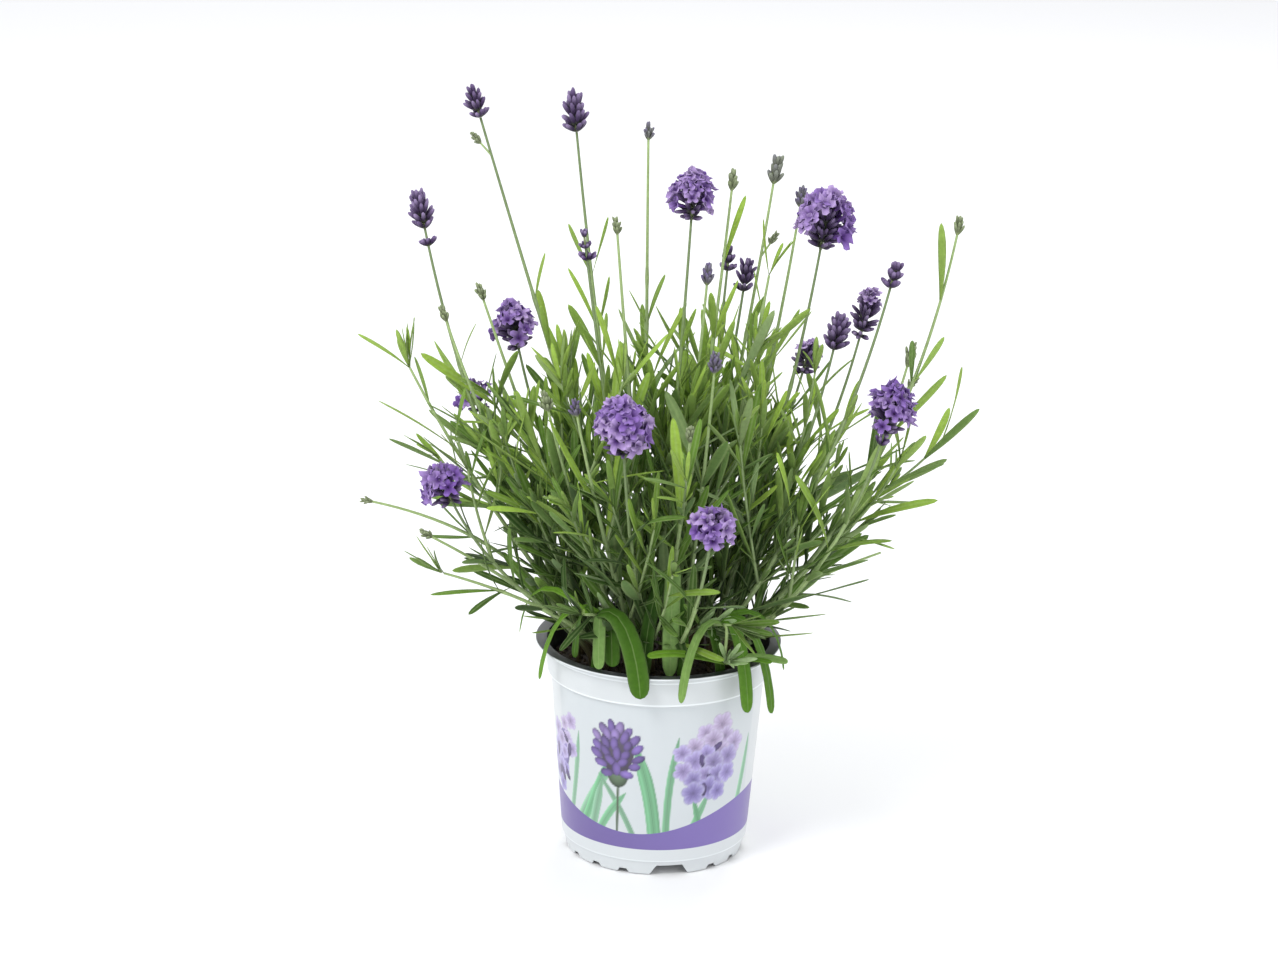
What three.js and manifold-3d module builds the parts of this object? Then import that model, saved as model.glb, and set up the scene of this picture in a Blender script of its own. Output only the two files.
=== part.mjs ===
// Lavender in a nursery pot: one moulded pot, its peat, and a bush of stems that each grew as one piece
// with its leaves. The purple flower heads are pieces of their own. Millimetres, +Z up. The origin is the
// pot's axis on the surface that the pot stands on, and -Y is the front.
import * as THREE from "three";
import { mergeVertices } from "three/addons/utils/BufferGeometryUtils.js";
import Module from "manifold-3d";

const wasm = await Module();
wasm.setup();

// Pot
const POT_HEIGHT = 116;
const LIP_RADIUS = 65; // the widest part of the pot
const LIP_OVERHANG = 5; // how far the lip stands out from the collar
const LIP_DEPTH = 1; // thickness of the flat lip
const SHOULDER_DROP = 5; // the collar is a little wider from here up to the lip
const SHOULDER_OUT = 0.4;
const COLLAR_HEIGHT = 17.6; // from the rim down to the step
const COLLAR_TAPER = 1.5;
const STEP_IN = 2; // the wall is this much slimmer than the collar above it
const STEP_SLOPE = 1; // height of the sloping underside of the step
const FOOT_RADIUS = 47; // outside of the foot skirt where it stands
const SKIRT_HEIGHT = 7.7;
const SKIRT_FLARE = 1.6;
const SKIRT_LEDGE = 0.9; // the wall overhangs the skirt by this much
const WALL = 1.2;
const FLOOR_HEIGHT = 7; // underside of the pot's floor
const FLOOR_THICKNESS = 1.4;
const POT_SIDES = 48;

// Notches in the foot skirt, as bearings from the middle of a wide one
const WIDE_NOTCHES = 3;
const NOTCH_DEPTH = 5.4;
const WIDE_NOTCH_MOUTH = 20.5;
const WIDE_NOTCH_TOP = 13.5;
const SMALL_NOTCH_DEPTH = 2.2;
const SMALL_NOTCH_MOUTH = 6.5;
const SMALL_NOTCH_TOP = 4;
const SMALL_NOTCH_BEARINGS = [30, 50, 70, 90];
const FIRST_NOTCH_BEARING = -80;
const EDGE_BREAK = 0.4; // small bevel on the lip and the ledge

// Drain holes in the floor
const DRAIN_HOLES = 6;
const DRAIN_HOLE_RADIUS = 4.5;
const DRAIN_RING_RADIUS = 33;

// Peat
const SOIL_BELOW_RIM = 12;
const SOIL_TOP = POT_HEIGHT - SOIL_BELOW_RIM;
const GAP = 0.3; // clearance between pieces that touch

// Plant
const GROWN_OUT = 1; // how far the bush is grown outwards, against the tips listed below
const GROWN_UP = 1; // how far it is grown upwards
const STEM_RADIUS = 1.1;
const STEM_SIDES = 4; // lavender stems are square
const STEM_STEPS = 8;
const STEM_CLEARANCE = 1.6; // least space between two stems
const RISES_STRAIGHT = 14; // a stem leaves the peat upright over about this length
const CROWN_SHARE = 0.74; // the stems come up over this share of the peat's radius
const CROWN_REACH = 150; // a stem that leans out this far or more comes up at the crown's edge
const SPARE_SPOTS = 20; // more places in the crown than stems, so that each finds a clear one
const RIM_CLEARANCE = 3; // a low stem arches at least this far over the rim
const LEAF_LENGTH = 40;
const LEAF_WIDTH = 4.6;
const LEAF_THICKNESS = 1.2;
const LEAF_CLEARANCE = 0.7; // least space between leaves of different stems
const LEAF_PITCH = 25; // from one pair of leaves to the next
const BARE_FOOT = 26; // the woody foot of a stem has no leaves
const LEAFY_HEIGHT = 172; // the bush is leafy up to here over the peat
const HANGING_LEAF_WIDTH = 7;
const BUD_WIDTH_SHARE = 0.62; // a young bud's width against its length
const COLLAR_WHORL_RADIUS = 3.2;
const FORK_LENGTH = 16;
const FORK_LEAN = 0.45; // radians from its stem
const FORK_BUD_RADIUS = 2.6;

// Stems with a purple head: tip is [x, y, height over the peat]; bow is 1 for a stem that rises and then
// leans out, -1 for one that leans out and then rises; collar is how far below the head a lone whorl of
// small calyces sits, and pair is the share of the stem's length with a last pair of leaves.
const FLOWER_STEMS = [
  { tip: [-126, 25, 225], bow: -0.3, head: { long: 21, wide: 12, whorls: 4 }, collar: 9 },
  { tip: [-99, 55, 278], bow: 0, head: { long: 18, wide: 11, whorls: 4 }, pair: 0.86, fork: 0.93 },
  { tip: [-49, 75, 267], bow: -0.1, head: { long: 23, wide: 13, whorls: 4 }, pair: 0.72 },
  { tip: [12, 20, 234], bow: -0.2, head: { long: 28, wide: 24, whorls: 4 } },
  { tip: [80, 35, 216], bow: -0.25, head: { long: 32, wide: 32, whorls: 4 } },
  { tip: [114, -15, 209], bow: -0.3, head: { long: 14, wide: 13, whorls: 3 }, pair: 0.8 },
  { tip: [105, 82, 156], bow: -0.3, head: { long: 27, wide: 16, whorls: 5 } },
  { tip: [88, 20, 166], bow: -0.3, head: { long: 20, wide: 14, whorls: 4 } },
  { tip: [74, 60, 142], bow: -0.2, head: { long: 17, wide: 16, whorls: 3 } },
  { tip: [113, -25, 134], bow: -0.4, head: { long: 29, wide: 25, whorls: 4 }, collar: 6 },
  { tip: [41, 60, 186], bow: -0.2, head: { long: 18, wide: 11, whorls: 3 } },
  { tip: [33, 96, 188], bow: -0.3, head: { long: 14, wide: 11, whorls: 3 } },
  { tip: [-42, 2, 222], bow: 0, head: { long: 10, wide: 9, whorls: 2 }, collar: 6 },
  { tip: [-77, 40, 157], bow: -0.2, head: { long: 27, wide: 23, whorls: 4 } },
  { tip: [-99, 75, 112], bow: -0.3, head: { long: 18, wide: 20, whorls: 3 } },
  { tip: [-20, -70, 133], bow: -0.3, head: { long: 33, wide: 29, whorls: 4 } },
  { tip: [-108, -35, 96], bow: -0.3, head: { long: 22, wide: 24, whorls: 3 } },
  { tip: [24, -103, 99], bow: -0.3, head: { long: 21, wide: 24, whorls: 3 } },
];

// Stems that end in a young bud
const BUD_STEMS = [
  { tip: [-11, 113, 256], bow: -0.3, bud: 9 },
  { tip: [33, 40, 246], bow: -0.1, bud: 12, pair: 0.84 },
  { tip: [56, 80, 241], bow: -0.1, bud: 16, fork: 0.84 },
  { tip: [71, 90, 226], bow: -0.2, bud: 11 },
  { tip: [149, 10, 232], bow: -0.5, bud: 11, pair: 0.86 },
  { tip: [21, 20, 200], bow: -0.1, bud: 11 },
  { tip: [25, -35, 168], bow: -0.2, bud: 12 },
  { tip: [-26, 8, 229], bow: 0, bud: 10 },
  { tip: [-59, -45, 149], bow: -0.1, bud: 12 },
  { tip: [-151, -10, 87], bow: 0.6, bud: 7, pair: 0.62 },
  { tip: [-113, -8, 185], bow: -0.2, bud: 9 },
  { tip: [-95, 14, 191], bow: 0, bud: 10 },
  { tip: [-118, -45, 80], bow: 0.2, bud: 8 },
  { tip: [128, 35, 154], bow: -0.4, bud: 14, fork: 0.9 },
  { tip: [-44, -60, 151], bow: -0.1, bud: 8 },
  { tip: [13, -72, 142], bow: -0.2, bud: 11 },
];

// Shoots without a flower; hanging leaves reach over the rim at a bearing and drop below it by a height.
const LEAFY_SHOOTS = [
  { tip: [-131, -15, 161], bow: -0.1 },
  { tip: [54, 45, 199], bow: -0.1 },
  { tip: [119, 50, 45], bow: 0.4 },
  { tip: [-111, -50, 62], bow: 0.3 },
  {
    tip: [37, -58, 40],
    bow: 0.5,
    hanging: [
      { bearing: -33, drop: 19 },
      { bearing: -47, drop: 17 },
    ],
  },
  {
    tip: [-39, -58, 44],
    bow: 0.5,
    hanging: [
      { bearing: -98, drop: 8 },
      { bearing: -129, drop: 4 },
      { bearing: -152, drop: 10 },
    ],
  },
];

const COLOURS = {
  pot: { color: 0xf2f3f5, roughness: 0.35 },
  peat: { color: 0x2b1d14, roughness: 0.95 },
  stem: { color: 0x6f9a4a, roughness: 0.7 },
  shoot: { color: 0x5f9a35, roughness: 0.65 },
  head: { color: 0x6c4fa8, roughness: 0.75 },
};

const UP = new THREE.Vector3(0, 0, 1);
const collarTopRadius = LIP_RADIUS - LIP_OVERHANG;
const stepHeight = POT_HEIGHT - COLLAR_HEIGHT;
const collarFootRadius = collarTopRadius - COLLAR_TAPER;
const wallTopRadius = collarFootRadius - STEP_IN;
const skirtTopRadius = FOOT_RADIUS + SKIRT_FLARE;
const wallFootRadius = skirtTopRadius + SKIRT_LEDGE;
const mouthRadius = collarTopRadius - WALL; // where the flat lip begins
const crownRadius = CROWN_SHARE * innerRadius(SOIL_TOP);

function innerRadius(z) {
  // The pot's inside wall, below its lip.
  if (z >= stepHeight) {
    const share = (z - stepHeight) / (POT_HEIGHT - LIP_DEPTH - stepHeight);
    return collarFootRadius - WALL + COLLAR_TAPER * share;
  }
  const share = (z - SKIRT_HEIGHT) / (stepHeight - STEP_SLOPE - SKIRT_HEIGHT);
  return wallFootRadius - WALL + (wallTopRadius - wallFootRadius) * Math.min(share, 1);
}

function toSolid(geometry) {
  const bare = geometry.clone();
  bare.deleteAttribute("normal");
  bare.deleteAttribute("uv");
  const merged = mergeVertices(bare, 1e-4);
  const vertProperties = new Float32Array(merged.attributes.position.array);
  const triVerts = new Uint32Array(merged.index.array);
  return new wasm.Manifold(new wasm.Mesh({ numProp: 3, vertProperties, triVerts }));
}

function toGeometry(solid) {
  const mesh = solid.getMesh();
  const geometry = new THREE.BufferGeometry();
  geometry.setAttribute("position", new THREE.BufferAttribute(new Float32Array(mesh.vertProperties), 3));
  geometry.setIndex(new THREE.BufferAttribute(new Uint32Array(mesh.triVerts), 1));
  geometry.computeVertexNormals();
  return geometry;
}

function join(geometries) {
  return toGeometry(geometries.map(toSolid).reduce((whole, piece) => whole.add(piece)));
}

function lathe(outline, sides) {
  const points = outline.map(([radius, z]) => new THREE.Vector2(radius, z));
  return new THREE.LatheGeometry(points, sides).rotateX(Math.PI / 2);
}

function closedStrip(rings, first, last) {
  // A closed skin over rings of points, drawn to a point at each end.
  const sides = rings[0].length;
  const points = [first, ...rings.flat(), last];
  const end = points.length - 1;
  const at = (ring, side) => 1 + ring * sides + (side % sides);
  const faces = [];
  for (let side = 0; side < sides; side++) {
    faces.push(0, at(0, side + 1), at(0, side));
    faces.push(end, at(rings.length - 1, side), at(rings.length - 1, side + 1));
    for (let ring = 0; ring + 1 < rings.length; ring++) {
      faces.push(at(ring, side), at(ring, side + 1), at(ring + 1, side + 1));
      faces.push(at(ring, side), at(ring + 1, side + 1), at(ring + 1, side));
    }
  }
  const geometry = new THREE.BufferGeometry().setFromPoints(points);
  geometry.setIndex(faces);
  return geometry;
}

function spindle(base, axis, length, bulges, sides) {
  // A turned body along an axis: each bulge is [share of the length, radius].
  const side = new THREE.Vector3(0, 1, 0).cross(axis).normalize();
  const other = axis.clone().cross(side);
  const rings = bulges.map(([share, radius]) => {
    const middle = base.clone().addScaledVector(axis, share * length);
    return Array.from({ length: sides }, (_, i) => {
      const angle = (2 * Math.PI * i) / sides;
      return middle
        .clone()
        .addScaledVector(side, radius * Math.cos(angle))
        .addScaledVector(other, radius * Math.sin(angle));
    });
  });
  return closedStrip(rings, base, base.clone().addScaledVector(axis, length));
}

function potGeometry() {
  const lipFoot = POT_HEIGHT - LIP_DEPTH;
  const floorTop = FLOOR_HEIGHT + FLOOR_THICKNESS;
  const skirtInner = FOOT_RADIUS - WALL;
  const shoulderHeight = POT_HEIGHT - SHOULDER_DROP;
  const shoulderRadius = innerRadius(shoulderHeight) + WALL;
  const outline = [
    [0, FLOOR_HEIGHT],
    [skirtInner + SKIRT_FLARE * (FLOOR_HEIGHT / SKIRT_HEIGHT), FLOOR_HEIGHT],
    [skirtInner, 0],
    [FOOT_RADIUS, 0],
    [skirtTopRadius, SKIRT_HEIGHT],
    [wallFootRadius, SKIRT_HEIGHT + EDGE_BREAK],
    [wallTopRadius, stepHeight - STEP_SLOPE],
    [collarFootRadius, stepHeight],
    [shoulderRadius, shoulderHeight],
    [shoulderRadius + SHOULDER_OUT, shoulderHeight + EDGE_BREAK],
    [collarTopRadius + SHOULDER_OUT, lipFoot],
    [LIP_RADIUS, lipFoot],
    [LIP_RADIUS, POT_HEIGHT - EDGE_BREAK],
    [LIP_RADIUS - EDGE_BREAK, POT_HEIGHT],
    [mouthRadius + EDGE_BREAK, POT_HEIGHT],
    [mouthRadius, POT_HEIGHT - EDGE_BREAK],
    [innerRadius(stepHeight), stepHeight],
    [innerRadius(stepHeight - STEP_SLOPE), stepHeight - STEP_SLOPE],
    [innerRadius(floorTop), floorTop],
    [0, floorTop],
  ];
  let pot = toSolid(lathe(outline, POT_SIDES));
  const cut = (bearing, mouth, top, depth) => {
    // The notch's outline, run on a little below the foot, is driven right through the skirt.
    const flare = (mouth - top) / 2 / depth;
    const below = 1;
    const notch = new THREE.Shape([
      new THREE.Vector2(-mouth / 2 - below * flare, -below),
      new THREE.Vector2(mouth / 2 + below * flare, -below),
      new THREE.Vector2(top / 2, depth),
      new THREE.Vector2(-top / 2, depth),
    ]);
    const tool = new THREE.ExtrudeGeometry(notch, { depth: 10 * WALL, bevelEnabled: false, steps: 1 });
    tool.rotateX(Math.PI / 2);
    tool.translate(0, -(FOOT_RADIUS - 6 * WALL), 0);
    tool.rotateZ(THREE.MathUtils.degToRad(bearing + 90));
    pot = pot.subtract(toSolid(tool));
  };
  for (let i = 0; i < WIDE_NOTCHES; i++) {
    const wide = FIRST_NOTCH_BEARING + (360 / WIDE_NOTCHES) * i;
    cut(wide, WIDE_NOTCH_MOUTH, WIDE_NOTCH_TOP, NOTCH_DEPTH);
    for (const turn of SMALL_NOTCH_BEARINGS) {
      cut(wide + turn, SMALL_NOTCH_MOUTH, SMALL_NOTCH_TOP, SMALL_NOTCH_DEPTH);
    }
  }
  for (let i = 0; i < DRAIN_HOLES; i++) {
    const angle = (2 * Math.PI * i) / DRAIN_HOLES;
    const drill = new THREE.CylinderGeometry(DRAIN_HOLE_RADIUS, DRAIN_HOLE_RADIUS, 4 * FLOOR_THICKNESS, 16);
    drill.rotateX(Math.PI / 2);
    drill.translate(DRAIN_RING_RADIUS * Math.cos(angle), DRAIN_RING_RADIUS * Math.sin(angle), FLOOR_HEIGHT);
    pot = pot.subtract(toSolid(drill));
  }
  return toGeometry(pot);
}

function peatGeometry() {
  const foot = FLOOR_HEIGHT + FLOOR_THICKNESS + GAP;
  const heights = [foot, stepHeight - STEP_SLOPE, stepHeight + GAP, SOIL_TOP];
  const outline = heights.filter((z) => z <= SOIL_TOP).map((z) => [innerRadius(z) - 2 * GAP, z]);
  return lathe([[0, foot], ...outline, [0, SOIL_TOP]], POT_SIDES);
}

// Where the stems come up: seeds of a sunflower pattern over the crown.
function crownSpots(count) {
  const golden = Math.PI * (3 - Math.sqrt(5));
  return Array.from({ length: count }, (_, i) => {
    const radius = crownRadius * Math.sqrt((i + 0.5) / count);
    return new THREE.Vector3(
      radius * Math.cos(i * golden),
      radius * Math.sin(i * golden),
      SOIL_TOP + GAP,
    );
  });
}

function stemPath(foot, tip, bow) {
  const bend = foot.clone().lerp(tip, (1 - bow) / 2);
  bend.z = foot.z + ((1 + bow) / 2) * (tip.z - foot.z);
  return new THREE.CubicBezierCurve3(foot, foot.clone().addScaledVector(UP, RISES_STRAIGHT), bend, tip);
}

function clearsRim(path) {
  return path.getPoints(40).every((point) => {
    const out = Math.hypot(point.x, point.y);
    const inLip = out > mouthRadius - RIM_CLEARANCE && out < LIP_RADIUS + RIM_CLEARANCE;
    return !inLip || point.z > POT_HEIGHT + RIM_CLEARANCE;
  });
}

// What space is taken: capsules, each between two points with a radius and the name of its owner.
const taken = [];

function capsulesAlong(points, radius, owner) {
  return points.slice(1).map((end, i) => ({ line: new THREE.Line3(points[i], end), radius, owner }));
}

function spaceBetween(one, two) {
  // The least distance between two capsules: between their lines, less both radii.
  const along = one.line.delta(new THREE.Vector3());
  const across = two.line.delta(new THREE.Vector3());
  const apart = one.line.start.clone().sub(two.line.start);
  const a = along.dot(along);
  const b = along.dot(across);
  const c = across.dot(across);
  const d = along.dot(apart);
  const e = across.dot(apart);
  const clamp = THREE.MathUtils.clamp;
  const parallel = a * c - b * b;
  let s = parallel > 1e-9 ? clamp((b * e - c * d) / parallel, 0, 1) : 0;
  const t = clamp((b * s + e) / c, 0, 1);
  s = clamp((b * t - d) / a, 0, 1);
  const gap = one.line.at(s, new THREE.Vector3()).distanceTo(two.line.at(t, new THREE.Vector3()));
  return gap - one.radius - two.radius;
}

function leastSpace(capsules, owner, enough) {
  let least = Infinity;
  for (const mine of capsules) {
    for (const other of taken) {
      if (other.owner === owner) continue;
      least = Math.min(least, spaceBetween(mine, other));
      if (least < enough) return least;
    }
  }
  return least;
}

function plantStem(plan, spots) {
  // The stem takes the free spot nearest to its own side of the crown that keeps it clear of the others.
  const tip = new THREE.Vector3(...plan.tip);
  tip.multiply(new THREE.Vector3(GROWN_OUT, GROWN_OUT, GROWN_UP));
  const reach = Math.hypot(tip.x, tip.y);
  const out = crownRadius * Math.min(reach / CROWN_REACH, 1);
  const wish = new THREE.Vector3((tip.x / reach) * out, (tip.y / reach) * out, 0);
  tip.z += SOIL_TOP;
  const flat = (spot) => Math.hypot(spot.x - wish.x, spot.y - wish.y);
  const order = [...spots].sort((one, two) => flat(one) - flat(two));
  let best = null;
  for (const spot of order) {
    let bow = plan.bow;
    while (!clearsRim(stemPath(spot, tip, bow)) && bow < 0.95) bow += 0.1;
    const path = stemPath(spot, tip, bow);
    const capsules = stemCapsules(plan, path);
    const space = leastSpace(capsules, plan.name, -Infinity);
    if (!best || space > best.space) best = { spot, path, capsules, space };
    if (space >= STEM_CLEARANCE) break;
  }
  spots.splice(spots.indexOf(best.spot), 1);
  taken.push(...best.capsules);
  plan.path = best.path;
}

function stemCapsules(plan, path) {
  // The space of a stem with its head or bud, its lone whorl and its side branch.
  const capsules = capsulesAlong(path.getSpacedPoints(STEM_STEPS), STEM_RADIUS, plan.name);
  const lean = path.getTangent(1);
  const round = (start, way, length, radius, owner) => {
    const inset = Math.min(radius, length / 2);
    const from = start.clone().addScaledVector(way, inset);
    const to = start.clone().addScaledVector(way, Math.max(length - inset, inset + 1));
    capsules.push({ line: new THREE.Line3(from, to), radius, owner });
  };
  if (plan.head) round(path.getPoint(1), lean, plan.head.long, plan.head.wide / 2, plan.name + "_head");
  if (plan.bud) round(path.getPoint(1), lean, plan.bud, (plan.bud * BUD_WIDTH_SHARE) / 2, plan.name);
  if (plan.collar) {
    const { base, lean: way, depth } = collarPlace(plan, path);
    round(base, way, depth, COLLAR_WHORL_RADIUS, plan.name);
  }
  if (plan.fork) {
    const { start, branch } = forkPlace(plan, path);
    round(start, branch, FORK_LENGTH, FORK_BUD_RADIUS, plan.name);
  }
  return capsules;
}

function stemGeometry(path) {
  const section = new THREE.Shape(
    Array.from({ length: STEM_SIDES }, (_, i) => {
      const angle = (2 * Math.PI * i) / STEM_SIDES;
      return new THREE.Vector2(STEM_RADIUS * Math.cos(angle), STEM_RADIUS * Math.sin(angle));
    }),
  );
  return new THREE.ExtrudeGeometry(section, { steps: STEM_STEPS, extrudePath: path });
}

function leafGeometry(base, knee, tip, width) {
  // A thin blade: a point inside the stem, a diamond section at the knee and a point at the tip.
  const axis = tip.clone().sub(base).normalize();
  const across = axis.clone().cross(UP).normalize();
  const through = across.clone().cross(axis);
  const ring = [
    knee.clone().addScaledVector(across, width / 2),
    knee.clone().addScaledVector(through, LEAF_THICKNESS / 2),
    knee.clone().addScaledVector(across, -width / 2),
    knee.clone().addScaledVector(through, -LEAF_THICKNESS / 2),
  ];
  return closedStrip([ring.reverse()], base, tip);
}

function leafStaysClear(base, knee, tip, width, owner) {
  const path = new THREE.QuadraticBezierCurve3(base, knee, tip);
  const overPot = path.getPoints(8).every((point) => {
    const out = Math.hypot(point.x, point.y);
    if (out < mouthRadius - LEAF_WIDTH) return point.z > SOIL_TOP + LEAF_WIDTH / 2;
    return out > LIP_RADIUS + LEAF_WIDTH / 2 || point.z > POT_HEIGHT + LEAF_WIDTH / 2;
  });
  const capsules = capsulesAlong([base, knee, tip], width / 2, owner);
  return overPot && leastSpace(capsules, owner, LEAF_CLEARANCE) >= LEAF_CLEARANCE ? capsules : null;
}

function pairOfLeaves(plan, share, turn, size) {
  // Two opposite leaves at one node; the pair turns round its stem until both are clear.
  const middle = plan.path.getPointAt(share);
  const tangent = plan.path.getTangentAt(share);
  const side = new THREE.Vector3(0, 1, 0).cross(tangent).normalize();
  const spread = THREE.MathUtils.degToRad(size.spread);
  const length = LEAF_LENGTH * size.length;
  const width = LEAF_WIDTH * size.width;
  for (let step = 0; step < 12; step++) {
    const out = side.clone().applyAxisAngle(tangent, turn + (step * Math.PI) / 12);
    const leaves = [1, -1].map((way) => {
      const along = tangent.clone().multiplyScalar(Math.cos(spread));
      along.addScaledVector(out, way * Math.sin(spread));
      const knee = middle.clone().addScaledVector(along, 0.55 * length);
      const tip = middle.clone().addScaledVector(along, length);
      tip.addScaledVector(UP, 0.06 * length);
      return { knee, tip, space: leafStaysClear(middle, knee, tip, width, plan.name) };
    });
    if (leaves.every((leaf) => leaf.space)) {
      leaves.forEach((leaf) => taken.push(...leaf.space));
      return leaves.map((leaf) => leafGeometry(middle, leaf.knee, leaf.tip, width));
    }
  }
  return [];
}

function leafNodes(plan) {
  // Where a stem's pairs of leaves stand: smaller and steeper higher up, and each pair across the last.
  const length = plan.path.getLength();
  const leafyLength = Math.min(LEAFY_HEIGHT / Math.max(plan.path.v3.z - SOIL_TOP, 1), 1) * length;
  const top = plan.leafyTip ? length : Math.min(leafyLength, 0.68 * length);
  const pairs = Math.max(Math.round((top - BARE_FOOT) / LEAF_PITCH), 1);
  const nodes = Array.from({ length: pairs }, (_, i) => {
    const along = BARE_FOOT + ((top - BARE_FOOT) * (i + 0.5)) / pairs;
    const rise = along / LEAFY_HEIGHT;
    const size = { length: 1.05 - 0.3 * rise, width: 1.05 - 0.2 * rise, spread: 52 - 24 * rise };
    return { share: along / length, turn: (i * Math.PI) / 2, size };
  });
  if (plan.pair) nodes.push({ share: plan.pair, turn: 0.4, size: { length: 0.8, width: 0.7, spread: 22 } });
  return nodes;
}

function growLeaves(plans) {
  // Hanging leaves first, and then pair by pair on all the stems in turn, so that each stem gets its own.
  for (const plan of plans) {
    plan.leaves = (plan.hanging ?? []).map((leaf) => hangingLeaf(plan, leaf));
    plan.nodes = leafNodes(plan);
  }
  const most = Math.max(...plans.map((plan) => plan.nodes.length));
  for (let i = 0; i < most; i++) {
    for (const plan of plans.filter(({ nodes }) => nodes.length > i)) {
      const { share, turn, size } = plan.nodes[i];
      plan.leaves.push(...pairOfLeaves(plan, share, turn, size));
    }
  }
}

function hangingLeaf(plan, { bearing, drop }) {
  // From low on the shoot, over the lip, and down in front of the pot; it leaves the shoot a little higher
  // where another piece is in its way.
  const angle = THREE.MathUtils.degToRad(bearing);
  const outward = new THREE.Vector3(Math.cos(angle), Math.sin(angle), 0);
  const knee = outward.clone().multiplyScalar(LIP_RADIUS + RIM_CLEARANCE);
  knee.z = POT_HEIGHT + 2 * RIM_CLEARANCE;
  const tip = outward.clone().multiplyScalar(LIP_RADIUS + 1.5 * RIM_CLEARANCE);
  tip.z = POT_HEIGHT - drop;
  const half = HANGING_LEAF_WIDTH / 2;
  const tries = [0.55, 0.45, 0.65, 0.75, 0.85, 0.95].map((share) => {
    const start = plan.path.getPointAt(share);
    const capsules = capsulesAlong([start, knee, tip], half, plan.name);
    return { start, capsules, space: leastSpace(capsules, plan.name, -Infinity) };
  });
  const roomiest = [...tries].sort((one, two) => two.space - one.space)[0];
  const best = tries.find(({ space }) => space >= LEAF_CLEARANCE) ?? roomiest;
  taken.push(...best.capsules);
  return leafGeometry(best.start, knee, tip, HANGING_LEAF_WIDTH);
}

function budOf(plan) {
  const tip = plan.path.getPoint(1);
  const lean = plan.path.getTangent(1);
  const radius = (plan.bud * BUD_WIDTH_SHARE) / 2;
  const base = tip.clone().addScaledVector(lean, -STEM_RADIUS);
  const bulges = [
    [0.3, radius],
    [0.7, radius * 0.8],
  ];
  return spindle(base, lean, plan.bud + STEM_RADIUS, bulges, 6);
}

function collarPlace(plan, path) {
  const share = 1 - plan.collar / path.getLength();
  const lean = path.getTangentAt(share);
  const depth = Math.min(plan.collar - GAP, 6);
  return { base: path.getPointAt(share).addScaledVector(lean, -depth / 2), lean, depth };
}

function collarOf(plan) {
  // A lone whorl of calyces on the stem, below the head.
  const { base, lean, depth } = collarPlace(plan, plan.path);
  return spindle(base, lean, depth, [[0.6, COLLAR_WHORL_RADIUS]], 6);
}

function forkPlace(plan, path) {
  const lean = path.getTangentAt(plan.fork);
  const start = path.getPointAt(plan.fork);
  return { start, branch: lean.applyAxisAngle(new THREE.Vector3(0, 1, 0), Math.sign(start.x) * FORK_LEAN) };
}

function forkOf(plan) {
  // A short side branch with a bud of its own.
  const { start, branch } = forkPlace(plan, plan.path);
  const twig = STEM_RADIUS * 0.7;
  const bulges = [
    [0.1, twig],
    [0.55, twig],
    [0.75, FORK_BUD_RADIUS],
  ];
  return spindle(start, branch, FORK_LENGTH, bulges, 5);
}

function headGeometry({ head, path }) {
  // Whorls of calyces one above the other, each a bulge, widest in the middle of the spike.
  const lean = path.getTangent(1);
  const base = path.getPoint(1).addScaledVector(lean, GAP);
  const bulges = [];
  for (let i = 0; i < head.whorls; i++) {
    const share = (i + 0.5) / head.whorls;
    const swell = (head.wide / 2) * (0.62 + 0.38 * Math.sin(Math.PI * Math.min(share * 1.15, 1)));
    const pitch = 1 / head.whorls;
    bulges.push([share - 0.3 * pitch, swell * 0.86]);
    bulges.push([share + 0.15 * pitch, swell]);
    if (i + 1 < head.whorls) bulges.push([share + 0.45 * pitch, swell * 0.8]);
  }
  return spindle(base, lean, head.long, bulges, 8);
}

function addMesh(group, name, geometry, look) {
  const material = new THREE.MeshStandardMaterial({ ...COLOURS[look], metalness: 0 });
  const mesh = new THREE.Mesh(geometry, material);
  mesh.name = name;
  group.add(mesh);
}

function namePlans(plans, word) {
  plans.forEach((plan, i) => {
    plan.name = word + "_" + String(i + 1).padStart(2, "0");
  });
}

namePlans(FLOWER_STEMS, "flower_stem");
namePlans(BUD_STEMS, "bud_stem");
namePlans(LEAFY_SHOOTS, "leafy_shoot");
LEAFY_SHOOTS.forEach((plan) => {
  plan.leafyTip = true;
});

const plans = [...FLOWER_STEMS, ...BUD_STEMS, ...LEAFY_SHOOTS];
const spots = crownSpots(plans.length + SPARE_SPOTS);
const reachOf = (plan) => Math.hypot(plan.tip[0], plan.tip[1]) - plan.tip[2] / 4;
[...plans].sort((one, two) => reachOf(two) - reachOf(one)).forEach((plan) => plantStem(plan, spots));
growLeaves(plans);

const lavender = new THREE.Group();
addMesh(lavender, "pot", potGeometry(), "pot");
addMesh(lavender, "potting_soil", peatGeometry(), "peat");

for (const plan of FLOWER_STEMS) {
  addMesh(lavender, plan.name.replace("stem", "head"), headGeometry(plan), "head");
}

for (const plan of plans) {
  const pieces = [stemGeometry(plan.path)];
  if (plan.bud) pieces.push(budOf(plan));
  if (plan.collar) pieces.push(collarOf(plan));
  if (plan.fork) pieces.push(forkOf(plan));
  pieces.push(...plan.leaves);
  addMesh(lavender, plan.name, join(pieces), plan.leafyTip ? "shoot" : "stem");
}

export default lavender;
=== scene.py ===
import collections
import math

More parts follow.
